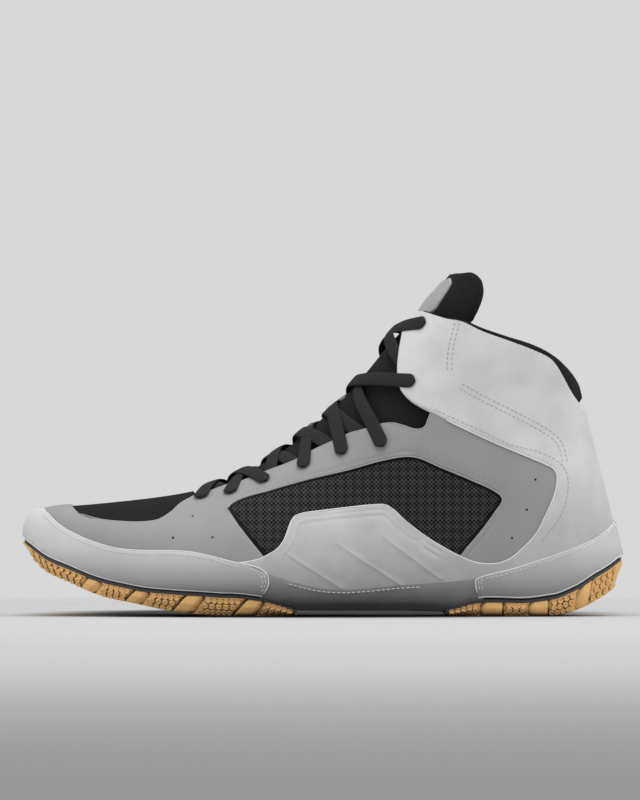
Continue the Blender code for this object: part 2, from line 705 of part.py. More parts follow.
def inside(point, outline):
    """Whether an (x, z) point is inside an outline."""
    found = False
    for (ax, az), (bx, bz) in zip(outline, outline[1:] + outline[:1]):
        if (az > point[1]) != (bz > point[1]) and point[0] < ax + (bx - ax) * (point[1] - az) / (bz - az):
            found = not found
    return found


def reach_in(share, side, region):
    """How far up a rib of the last an outline reaches that holds the rib's foot."""

    def holds(reach):
        x, _, z = facet_point(share, reach, side, GAP, 0.0)
        return inside((x, z), region)

    low, high = 0.0, 2.0
    step = REACH_STEP
    while low + step < high and holds(low + step):
        low += step
    if low + step >= high:
        return 2.0
    high = low + step
    for _ in range(HALVINGS):
        middle = (low + high) / 2
        low, high = (middle, high) if holds(middle) else (low, middle)
    return low


def rand(name, region):
    """A band of even thickness up from the feather line, from the lateral side round an end to the medial."""
    band = form(GAP + RAND_THICKNESS, name, "white", 0.0)
    carve(band, form(GAP), "DIFFERENCE")
    return carve(band, prism(region), "INTERSECT")


def quad_grid(bm, rows):
    for first, second in zip(rows, rows[1:]):
        for k in range(len(first) - 1):
            bm.faces.new((first[k], first[k + 1], second[k + 1], second[k]))


def arch_band():
    """The band that wraps the waist: up both sides between the rands, and joined under the arch."""
    region = arch_region()
    open_from, open_to = FOREFOOT_END + UNDER_CLEARANCE, HEEL_START - UNDER_CLEARANCE
    step = UNDER_CLEARANCE / 2
    shares = stations_between(*ARCH_SPAN) + [open_from - step, open_from, open_to, open_to + step]
    shares.sort()
    under = [k for k, share in enumerate(shares) if open_from <= share <= open_to]
    outer, inner = ARCH_GAP + ARCH_THICKNESS, ARCH_GAP
    bm = bmesh.new()
    grids = {}
    for grow in (outer, inner):
        for side in (-1, 1):
            rows = []
            for k, share in enumerate(shares):
                top = reach_in(share, side, region)
                drop = grow if k in under else 0.0
                reaches = [min(reach, top) for reach in reach_stations()]
                rows.append([bm.verts.new(facet_point(share, reach, side, grow, drop)) for reach in reaches])
            grids[grow, side] = rows
            quad_grid(bm, rows)
        rows = []
        for k in under:
            low, high = grids[grow, -1][k][0], grids[grow, 1][k][0]
            middle = [bm.verts.new(low.co.lerp(high.co, m / 3)) for m in (1, 2)]
            rows.append([low, *middle, high])
        grids[grow, 0] = rows
        quad_grid(bm, rows)
    for side in (-1, 1):
        out_rows, in_rows = grids[outer, side], grids[inner, side]
        quad_grid(bm, [[row[-1] for row in out_rows], [row[-1] for row in in_rows]])
        for end_row in (0, -1):
            quad_grid(bm, [out_rows[end_row], in_rows[end_row]])
        for k in range(len(shares) - 1):
            if not (k in under and k + 1 in under):
                quad_grid(bm, [[row[0] for row in out_rows[k:k + 2]], [row[0] for row in in_rows[k:k + 2]]])
    for end_row in (0, -1):
        quad_grid(bm, [grids[outer, 0][end_row], grids[inner, 0][end_row]])
    return finished(bm, "arch_band", "arch")


def make_overlays():
    """Rands, arch band, the white frame of saddle, quarter and cuff, and the grey vamp panel with its eyestay."""
    toe, heel, arch, frame = toe_region(), heel_region(), arch_region(), frame_region()
    rand("toe_rand", toe)
    rand("heel_rand", heel)
    arch_band()
    panels = [
        layer("quarter_frame", "white", FRAME_THICKNESS, frame, [toe, heel, arch]),
        layer("vamp_panel", "grey", PANEL_THICKNESS, None, [toe, heel, arch, frame, edge(WINDOW_EDGE), vamp_region()]),
    ]
    for piece in panels:
        throat_cut(piece)
        carve(piece, prism(collar_region()), "DIFFERENCE")


def make_lining():
    """The padded rim inside the collar."""
    outer = -WALL - GAP
    lining = form(outer, "collar_lining", "lining")
    carve(lining, form(outer - LINING_THICKNESS), "DIFFERENCE")
    top = edge(LINING_EDGE)
    region = top + [(BEHIND, height(LINING_BACK_LEVEL)), (BEHIND, height(LINING_LOW_LEVEL)), side_point(LINING_CORNER)]
    return carve(lining, prism(region), "INTERSECT")


def make_tongue():
    outer = -WALL - TONGUE_CLEARANCE
    tongue = form(outer, "tongue", "mesh")
    carve(tongue, form(outer - TONGUE_THICKNESS), "DIFFERENCE")
    region = edge(TONGUE_EDGE) + [(along_x(TONGUE_FRONT), ABOVE), (along_x(TONGUE_CLOSE), ABOVE)]
    carve(tongue, prism(region), "INTERSECT")
    badge = form(outer + GAP + BADGE_THICKNESS, "tongue_badge", "badge")
    carve(badge, form(outer + GAP), "DIFFERENCE")
    region = edge(BADGE_EDGE) + [(along_x(BADGE_FRONT), ABOVE), (along_x(BADGE_REAR), ABOVE)]
    carve(badge, prism(region), "INTERSECT")
    return [tongue, badge]


def make_insole():
    rows = [
        (0.0, lambda share: feather(share) + WALL + EDGE_GAP + INSOLE_THICKNESS),
        (0.0, lambda share: feather(share) + WALL + EDGE_GAP),
    ]
    return slab("insole", "lining", *INSOLE_SPAN, rows, INSOLE_INSET)


class Surface:
    """The last as a surface to lay laces on."""

    def __init__(self):
        bm = form_mesh(0.0)
        bm.normal_update()
        self.tree = BVHTree.FromBMesh(bm)
        bm.free()

    def at(self, point, side):
        x, z = side_point(point)
        hit, normal, _, _ = self.tree.ray_cast(Vector((x, side * REACH, z)), Vector((0, -side, 0)))
        return hit, normal

    def shortfall(self, point, across, distance):
        """How much nearer than a distance a lace's middle or either of its sides is to the last."""
        short = 0.0
        for way in (-1, 0, 1):
            hit, normal, _, _ = self.tree.find_nearest(point + across * way)
            short = max(short, distance - (point + across * way - hit).dot(normal))
        return short

    def path(self, start, end, first, last, distance):
        """Points and normals between two shares of a straight line, laid on the last and kept clear of it."""
        points, normals, sides = [], [], []
        for k in range(LACE_STEPS + 1):
            hit, normal, _, _ = self.tree.find_nearest(start.lerp(end, first + (last - first) * k / LACE_STEPS))
            points.append(hit + normal * distance)
            normals.append(normal)
            sides.append(normal.cross(end - start).normalized() * LACE_WIDTH / 2)
        for _ in range(LACE_SETTLES):
            for k in range(LACE_STEPS):
                middle, side = (points[k] + points[k + 1]) / 2, (sides[k] + sides[k + 1]) / 2
                short = self.shortfall(middle, side, distance)
                for m in (k, k + 1):
                    lift = max(short, self.shortfall(points[m], sides[m], distance))
                    points[m] = points[m] + normals[m] * lift
        return points, normals


def ribbon(name, points, normals, width, thickness):
    """A flat lace along points, its face to the normals."""
    bm = bmesh.new()
    rings = []
    for k, point in enumerate(points):
        ahead = points[min(k + 1, len(points) - 1)] - points[max(k - 1, 0)]
        across = normals[k].cross(ahead).normalized()
        up = ahead.cross(across).normalized()
        corners = ((-0.5, 0.5), (0.5, 0.5), (0.5, -0.5), (-0.5, -0.5))
        rings.append([bm.verts.new(point + across * width * a + up * thickness * b) for a, b in corners])
    count = len(rings[0])
    for first, second in zip(rings, rings[1:]):
        for k in range(count):
            m = (k + 1) % count
            bm.faces.new((first[k], first[m], second[m], second[k]))
    bm.faces.new(rings[0][::-1])
    bm.faces.new(rings[-1])
    return finished(bm, name, "lace")


def make_crossings():
    """The laces' crossings over the throat, each one joined solid. Ends that go under the eyestay stop short."""
    surface = Surface()
    high = GAP + FRAME_THICKNESS + EDGE_GAP + LACE_THICKNESS / 2
    made = []
    for row in range(len(LATERAL_HOLES) - 1):
        bars = []
        for bar, (near, far) in enumerate(((row, row + 1), (row + 1, row))):
            near_hit, _ = surface.at(LATERAL_HOLES[near], -1)
            far_hit, _ = surface.at(MEDIAL_HOLES[far], 1)
            starts = 0.0 if LATERAL_ON_TOP[row][bar] else LACE_UNDER_START
            ends = 1.0 if far == row else LACE_UNDER_END
            points, normals = surface.path(near_hit, far_hit, starts, ends, high)
            side = LACE_WEAVE if bar == row % 2 else -LACE_WEAVE
            for k, normal in enumerate(normals):
                u = starts + (ends - starts) * k / LACE_STEPS
                points[k] += normal * LACE_THICKNESS * side * math.sin(math.pi * u) ** 2
            bars.append(ribbon(f"lace_crossing_{row + 1}", points, normals, LACE_WIDTH, LACE_THICKNESS))
        made.append(carve(bars[0], bars[1], "UNION"))
    return made


def centre_on_origin():
    """Moves the whole shoe so that the middle of its box stands on the origin."""
    meshes = [obj.data for obj in bpy.data.objects]
    points = np.array([tuple(vert.co) for mesh in meshes for vert in mesh.vertices])
    low, high = points.min(axis=0), points.max(axis=0)
    shift = Vector((-(low[0] + high[0]) / 2, -(low[1] + high[1]) / 2, -low[2]))
    for mesh in meshes:
        for vert in mesh.vertices:
            vert.co += shift
        mesh.shade_smooth()
        mesh.set_sharp_from_angle(angle=math.radians(35))


def main():
    for obj in list(bpy.data.objects):
        bpy.data.objects.remove(obj)
    make_upper()
    make_overlays()
    make_lining()
    make_tongue()
    make_insole()
    midsole("midsole_forefoot", 0.0, FOREFOOT_END, *FOREFOOT_OPENING)
    midsole("midsole_heel", HEEL_START, 1.0, *HEEL_OPENING)
    outsole("outsole_forefoot", 0.0, FOREFOOT_END, FOREFOOT_GROOVES)
    outsole("outsole_heel", HEEL_START, 1.0, HEEL_GROOVES)
    make_crossings()
    centre_on_origin()


main()
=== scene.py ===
"""Looks of a left wrestling shoe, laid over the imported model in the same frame.

The toe points to -X, the heel to +X and the outer side of the foot to -Y. Every layer of the upper is a patch
of one form, the last. Edges are given as they are seen from the outer side, in drawing units of the side view.
"""

import logging
import math
from dataclasses import dataclass, field
from enum import Enum
from typing import Callable, Sequence

import bmesh
import bpy
import numpy as np
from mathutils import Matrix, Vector
from mathutils.bvhtree import BVHTree
from mathutils.geometry import delaunay_2d_cdt
from mathutils.kdtree import KDTree

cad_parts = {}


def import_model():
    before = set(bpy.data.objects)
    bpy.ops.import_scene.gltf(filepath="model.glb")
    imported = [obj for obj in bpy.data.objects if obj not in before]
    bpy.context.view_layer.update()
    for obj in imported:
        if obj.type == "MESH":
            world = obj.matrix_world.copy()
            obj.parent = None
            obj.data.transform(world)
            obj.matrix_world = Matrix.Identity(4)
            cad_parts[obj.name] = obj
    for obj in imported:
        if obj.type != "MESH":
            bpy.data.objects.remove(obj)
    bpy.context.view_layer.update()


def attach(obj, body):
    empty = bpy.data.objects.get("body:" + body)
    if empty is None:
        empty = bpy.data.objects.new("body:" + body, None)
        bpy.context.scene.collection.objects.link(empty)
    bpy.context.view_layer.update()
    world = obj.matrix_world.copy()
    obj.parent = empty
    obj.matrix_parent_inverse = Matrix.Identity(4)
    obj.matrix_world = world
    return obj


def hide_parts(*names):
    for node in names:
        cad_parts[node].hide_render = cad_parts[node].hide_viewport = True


log = logging.getLogger("wrestling_shoe")

MM = 0.001
DRAWING_UNIT = 0.4838 * MM
DRAWING_MIDDLE = 322.75
DRAWING_FLOOR = 615.0
SIDE_SHIFT = -0.000773

Points = Sequence[tuple[float, float]]


# ---- Finishes ----


class Grain(Enum):
    """How a finish's surface is worked."""

    SUEDE = "suede"
    LEATHER = "leather"
    WEAVE = "weave"
    PERFORATED_KNIT = "perforated knit"
    BRAID = "braid"
    SMOOTH = "smooth"


class Shader:
    """A material's node tree, with short calls for adding and joining nodes."""

    def __init__(self, name: str) -> None:
        """Starts a material with its Principled shader.

        Args:
            name: the material's name.
        """
        self.material = bpy.data.materials.new(name)
        self.material.use_nodes = True
        self.tree = self.material.node_tree
        self.surface = self.tree.nodes["Principled BSDF"]

    def add(self, kind: str, **settings: object) -> bpy.types.Node:
        """Adds a node.

        Args:
            kind: the node's type name, without its ShaderNode prefix.
            settings: the node's own properties.

        Returns:
            The new node.
        """
        node = self.tree.nodes.new("ShaderNode" + kind)
        for name, value in settings.items():
            setattr(node, name, value)
        return node

    def join(self, source: bpy.types.NodeSocket, target: bpy.types.NodeSocket) -> None:
        """Links one socket to another."""
        self.tree.links.new(source, target)

    def noise(self, size: float, detail: float = 3.0, rough: float = 0.55) -> bpy.types.NodeSocket:
        """Cloudy noise over the object's own coordinates.

        Args:
            size: the size of its clouds, in metres.
            detail: how many finer layers it has.
            rough: how strong the finer layers are.

        Returns:
            The noise's value socket.
        """
        where = self.add("TexCoord")
        cloud = self.add("TexNoise")
        cloud.inputs["Scale"].default_value = 1.0 / size
        cloud.inputs["Detail"].default_value = detail
        cloud.inputs["Roughness"].default_value = rough
        self.join(where.outputs["Object"], cloud.inputs["Vector"])
        return cloud.outputs["Fac"]

    def ramp(self, value: bpy.types.NodeSocket, low: tuple[float, tuple], high: tuple[float, tuple]) -> bpy.types.NodeSocket:
        """Turns a value into a colour between two stops.

        Args:
            value: the socket to read.
            low: position and colour of the first stop.
            high: position and colour of the second stop.

        Returns:
            The colour socket.
        """
        node = self.add("ValToRGB")
        for stop, (place, colour) in zip(node.color_ramp.elements, (low, high)):
            stop.position = place
            stop.color = (*colour, 1.0)
        self.join(value, node.inputs["Fac"])
        return node.outputs["Color"]

    def math(self, operation: str, first: object, second: object = None) -> bpy.types.NodeSocket:
        """Adds a Math node.

        Args:
            operation: its operation.
            first: a socket or a number.
            second: a socket, a number or nothing.

        Returns:
            The result's socket.
        """
        node = self.add("Math", operation=operation)
        for k, item in enumerate((first, second)):
            if isinstance(item, bpy.types.NodeSocket):
                self.join(item, node.inputs[k])
            elif item is not None:
                node.inputs[k].default_value = item
        return node.outputs["Value"]

    def bump(self, height: bpy.types.NodeSocket, depth: float, before: bpy.types.NodeSocket | None = None) -> bpy.types.NodeSocket:
        """Adds a bump.

        Args:
            height: its height, from 0 to 1.
            depth: the depth that 1 stands for, in metres.
            before: the normal of an earlier bump.

        Returns:
            The normal's socket.
        """
        node = self.add("Bump")
        node.inputs["Distance"].default_value = depth
        node.inputs["Strength"].default_value = 1.0
        self.join(height, node.inputs["Height"])
        if before is not None:
            self.join(before, node.inputs["Normal"])
        return node.outputs["Normal"]


@dataclass(frozen=True)
class Finish:
    """A material of the shoe: its colour, how it mottles and how its surface is worked."""

    name: str
    colour: tuple[float, float, float]
    roughness: float
    grain: Grain
    mottle: float = 0.06
    mottle_size: float = 0.012
    grain_size: float = 0.0006
    grain_depth: float = 0.00004
    sheen: float = 0.0
    gloss: float = 0.3
    # shaded sets painted shade: how much darker the colour is painted in recesses.
    shaded: float = 0.0
    # lowered and lowered_to set painted shade: how much darker the colour is painted low down, and the height where it
    # ends.
    lowered: float = 0.0
    lowered_to: float = 0.034

    def shade(self, factor: float) -> tuple[float, float, float]:
        """The finish's colour, lighter or darker by a factor."""
        return tuple(min(1.0, channel * factor) for channel in self.colour)

    def holes(self, shader: Shader, pitch: float, turn: float) -> bpy.types.NodeSocket:
        """A regular grid of round holes over the drawing coordinates.

        Args:
            shader: the material being made.
            pitch: the distance between holes, in metres.
            turn: how far the grid is turned, in radians.

        Returns:
            A socket with the distance to the nearest hole's middle, in pitches.
        """
        where = self.place(shader)
        mapping = shader.add("Mapping")
        mapping.inputs["Rotation"].default_value = (0.0, 0.0, turn)
        mapping.inputs["Scale"].default_value = (1.0 / pitch, 1.0 / pitch, 1.0)
        shader.join(where, mapping.inputs["Vector"])
        cells = shader.add("TexVoronoi", voronoi_dimensions="2D")
        cells.inputs["Scale"].default_value = 1.0
        cells.inputs["Randomness"].default_value = 0.0
        shader.join(mapping.outputs["Vector"], cells.inputs["Vector"])
        return cells.outputs["Distance"]

    @staticmethod
    def place(shader: Shader) -> bpy.types.NodeSocket:
        """The piece's own drawing coordinates, in metres."""
        return shader.add("UVMap", uv_map="drawing").outputs["UV"]

    def dress(self) -> bpy.types.Material:
        """Makes the material.

        Returns:
            The finished material.
        """
        shader = Shader(self.name)
        surface = shader.surface
        surface.inputs["Roughness"].default_value = self.roughness
        surface.inputs["Sheen Weight"].default_value = self.sheen
        surface.inputs["Sheen Roughness"].default_value = 0.5
        surface.inputs["Specular IOR Level"].default_value = self.gloss
        clouds = shader.noise(self.mottle_size, 4.0)
        colour = shader.ramp(clouds, (0.36, self.shade(1 - self.mottle)), (0.64, self.shade(1 + self.mottle)))
        if self.grain is Grain.PERFORATED_KNIT:
            fine = self.holes(shader, 0.00145, math.pi / 4)
            coarse = self.holes(shader, 0.0043, 0.0)
            size = shader.math("MULTIPLY_ADD", coarse, 0.34)
            size.node.inputs[2].default_value = 0.25
            inside = shader.math("SUBTRACT", size, fine)
            mask = shader.math("MULTIPLY", inside, 14.0)
            mask.node.use_clamp = True
            mix = shader.add("Mix", data_type="RGBA")
            mix.inputs["B"].default_value = (*self.shade(0.04), 1.0)
            shader.join(mask, mix.inputs["Factor"])
            shader.join(colour, mix.inputs["A"])
            colour = mix.outputs["Result"]
            deep = shader.math("SUBTRACT", 1.0, mask)
            normal = shader.bump(deep, 0.0004)
            normal = shader.bump(shader.noise(self.grain_size), self.grain_depth, normal)
        elif self.grain is Grain.WEAVE:
            fine = self.holes(shader, self.grain_size, math.pi / 4)
            mask = shader.math("SUBTRACT", 0.36, fine)
            mask = shader.math("MULTIPLY", mask, 5.0)
            mask.node.use_clamp = True
            mix = shader.add("Mix", data_type="RGBA")
            mix.inputs["B"].default_value = (*self.shade(0.35), 1.0)
            shader.join(mask, mix.inputs["Factor"])
            shader.join(colour, mix.inputs["A"])
            colour = mix.outputs["Result"]
            normal = shader.bump(shader.math("SUBTRACT", 1.0, mask), self.grain_depth * 3)
        elif self.grain is Grain.BRAID:
            where = self.place(shader)
            bands = []
            for lean in (0.7, -0.7):
                mapping = shader.add("Mapping")
                mapping.inputs["Rotation"].default_value = (0.0, 0.0, lean)
                shader.join(where, mapping.inputs["Vector"])
                wave = shader.add("TexWave")
                wave.inputs["Scale"].default_value = 0.32 / self.grain_size
                shader.join(mapping.outputs["Vector"], wave.inputs["Vector"])
                bands.append(wave.outputs["Fac"])
            strands = shader.math("MAXIMUM", bands[0], bands[1])
            dark = shader.ramp(strands, (0.25, self.shade(0.55)), (0.9, self.shade(1.25)))
            mix = shader.add("Mix", data_type="RGBA", blend_type="MULTIPLY")
            mix.inputs["Factor"].default_value = 0.0
            shader.join(dark, mix.inputs["A"])
            shader.join(colour, mix.inputs["B"])
            colour = mix.outputs["Result"]
            normal = shader.bump(strands, self.grain_depth)
        else:
            grain = shader.noise(self.grain_size, 5.0, 0.7)
            speck = shader.ramp(grain, (0.3, (0.93, 0.93, 0.93)), (0.7, (1.0, 1.0, 1.0)))
            mix = shader.add("Mix", data_type="RGBA", blend_type="MULTIPLY")
            mix.inputs["Factor"].default_value = 1.0 if self.grain is not Grain.SMOOTH else 0.3
            shader.join(colour, mix.inputs["A"])
            shader.join(speck, mix.inputs["B"])
            colour = mix.outputs["Result"]
            normal = shader.bump(grain, self.grain_depth)
            if self.grain is Grain.SUEDE:
                normal = shader.bump(shader.noise(self.mottle_size / 2, 2.0), self.grain_depth * 5, normal)
        # Painted shade: recesses are darkened by ambient occlusion.
        if self.shaded > 0:
            nook = shader.add("AmbientOcclusion", samples=8)
            nook.inputs["Distance"].default_value = 0.0035
            depth = shader.ramp(nook.outputs["AO"], (0.38, (1 - self.shaded,) * 3), (0.86, (1.0, 1.0, 1.0)))
            mix = shader.add("Mix", data_type="RGBA", blend_type="MULTIPLY")
            mix.inputs["Factor"].default_value = 1.0
            shader.join(colour, mix.inputs["A"])
            shader.join(depth, mix.inputs["B"])
            colour = mix.outputs["Result"]
        # Painted shade: the colour is darkened towards the floor.
        if self.lowered > 0:
            colour = self.paint_low_shade(shader, colour)
        shader.join(colour, surface.inputs["Base Color"])
        shader.join(normal, surface.inputs["Normal"])
        return shader.material

    def paint_low_shade(self, shader: Shader, colour: bpy.types.NodeSocket) -> bpy.types.NodeSocket:
        """Paints shade on the finish, darker towards the floor.

        Args:
            shader: the material being made.
            colour: the colour so far.

        Returns:
            The colour, darker near the floor.
        """
        where = shader.add("TexCoord")
        axes = shader.add("SeparateXYZ")
        shader.join(where.outputs["Object"], axes.inputs["Vector"])
        span = shader.add("MapRange")
        span.inputs["From Min"].default_value = 0.008
        span.inputs["From Max"].default_value = self.lowered_to
        shader.join(axes.outputs["Z"], span.inputs["Value"])
        tone = shader.ramp(span.outputs["Result"], (0.0, (1 - self.lowered,) * 3), (1.0, (1.0, 1.0, 1.0)))
        mix = shader.add("Mix", data_type="RGBA", blend_type="MULTIPLY")
        mix.inputs["Factor"].default_value = 1.0
        shader.join(colour, mix.inputs["A"])
        shader.join(tone, mix.inputs["B"])
        return mix.outputs["Result"]


# The white suede, white leather and waist suede carry painted shade towards the floor (lowered).
WHITE_SUEDE = Finish("white suede", (0.60, 0.60, 0.598), 0.85, Grain.SUEDE, 0.06, 0.016, 0.0005, 0.00003, 0.1,
                     lowered=0.37, lowered_to=0.075)
WHITE_LEATHER = Finish("white leather", (0.60, 0.60, 0.60), 0.62, Grain.LEATHER, 0.03, 0.02, 0.0004, 0.00002,
                       lowered=0.62)
# The cut edges are coloured lighter than their overlays: partly their own tone, partly a painted highlight on the
# rolled edge. The white one also colours the pale line over the foam strip.
WHITE_EDGE_AND_HIGHLIGHT = Finish("white cut edge and painted highlight", (0.72, 0.72, 0.72), 0.6, Grain.SMOOTH, 0.02, 0.01)
GREY_EDGE_AND_HIGHLIGHT = Finish("grey cut edge and painted highlight", (0.40, 0.40, 0.40), 0.7, Grain.SMOOTH, 0.02, 0.01)
GREY_NUBUCK = Finish("grey nubuck", (0.285, 0.285, 0.285), 0.8, Grain.SUEDE, 0.03, 0.02, 0.0004, 0.00003, 0.05)
WAIST_SUEDE = Finish("waist suede", (0.36, 0.36, 0.365), 0.9, Grain.SUEDE, 0.08, 0.012, 0.0005, 0.00004, 0.05,
                     lowered=0.5)
VAMP_MESH = Finish("vamp mesh", (0.015, 0.015, 0.016), 0.9, Grain.WEAVE, 0.05, 0.02, 0.0007, 0.00004, gloss=0.1)
TONGUE_MESH = Finish("tongue mesh", (0.017, 0.017, 0.019), 0.9, Grain.WEAVE, 0.05, 0.02, 0.0011, 0.00005, gloss=0.1)
SIDE_KNIT = Finish("side knit", (0.045, 0.045, 0.046), 0.9, Grain.PERFORATED_KNIT, 0.06, 0.02, 0.0004, 0.00003,
                   gloss=0.1)
LINING = Finish("collar lining", (0.022, 0.023, 0.029), 0.9, Grain.WEAVE, 0.06, 0.01, 0.0009, 0.00004, gloss=0.1)
FOAM = Finish("foam strip", (0.07, 0.08, 0.09), 0.7, Grain.SMOOTH, 0.05, 0.01, 0.0006, 0.00002)
# The gum carries painted shade in its recesses (shaded).
GUM = Finish("gum rubber", (0.86, 0.50, 0.19), 0.5, Grain.LEATHER, 0.05, 0.01, 0.0005, 0.00002, shaded=0.9)
BLACK_BRAID = Finish("black braid", (0.024, 0.024, 0.025), 0.85, Grain.BRAID, 0.04, 0.01, 0.0006, 0.00007, gloss=0.1)
PALE_THREAD = Finish("pale thread", (0.62, 0.62, 0.62), 0.6, Grain.SMOOTH, 0.02, 0.01)
GREY_THREAD = Finish("grey thread", (0.37, 0.37, 0.37), 0.6, Grain.SMOOTH, 0.02, 0.01)
LABEL = Finish("silver label", (0.36, 0.36, 0.365), 0.42, Grain.LEATHER, 0.03, 0.008, 0.0004, 0.00002)
HOLE = Finish("punched hole", (0.006, 0.006, 0.006), 0.95, Grain.SMOOTH, 0.0, 0.01)


@dataclass
class Wardrobe:
    """The finishes that have been made into materials."""

    made: dict[str, bpy.types.Material] = field(default_factory=dict)

    def get(self, finish: Finish) -> bpy.types.Material:
        """The finish's material, made once."""
        if finish.name not in self.made:
            self.made[finish.name] = finish.dress()
        return self.made[finish.name]


WARDROBE = Wardrobe()


# ---- The last ----


class Column:
    """One column of a table along the shoe, read by a smooth curve that doesn't overshoot."""

    def __init__(self, along: Sequence[float], values: Sequence[float]) -> None:
        """Works out the curve's slopes.

        Args:
            along: shares of the length.
            values: the column's values there.
        """
        self.keys = np.arccos(1 - 2 * np.asarray(along))
        self.values = np.asarray(values, dtype=float)
        steps = np.diff(self.keys)
        slopes = np.diff(self.values) / steps
        self.tangents = np.zeros(len(values))
        for k in range(1, len(values) - 1):
            before, after = slopes[k - 1], slopes[k]
            if before * after > 0:
                self.tangents[k] = 2 * before * after / (before + after)

    def at(self, angle: np.ndarray) -> np.ndarray:
        """The column's values at angles from 0 at the toe to pi at the heel."""
        keys = self.keys
        where = np.clip(angle, keys[0], keys[-1])
        i = np.clip(np.searchsorted(keys, where, side="right") - 1, 0, len(keys) - 2)
        step = keys[i + 1] - keys[i]
        t = (where - keys[i]) / step
        low, high = self.values[i], self.values[i + 1]
        ease = step * (self.tangents[i] * t * (1 - t) ** 2 - self.tangents[i + 1] * t * t * (1 - t))
        return low * (1 + 2 * t) * (1 - t) ** 2 + high * t * t * (3 - 2 * t) + ease


@dataclass
class Dent:
    """A soft trough or swelling of every layer, along a line of the side view."""

    line: Points
    reach: float
    depth: float


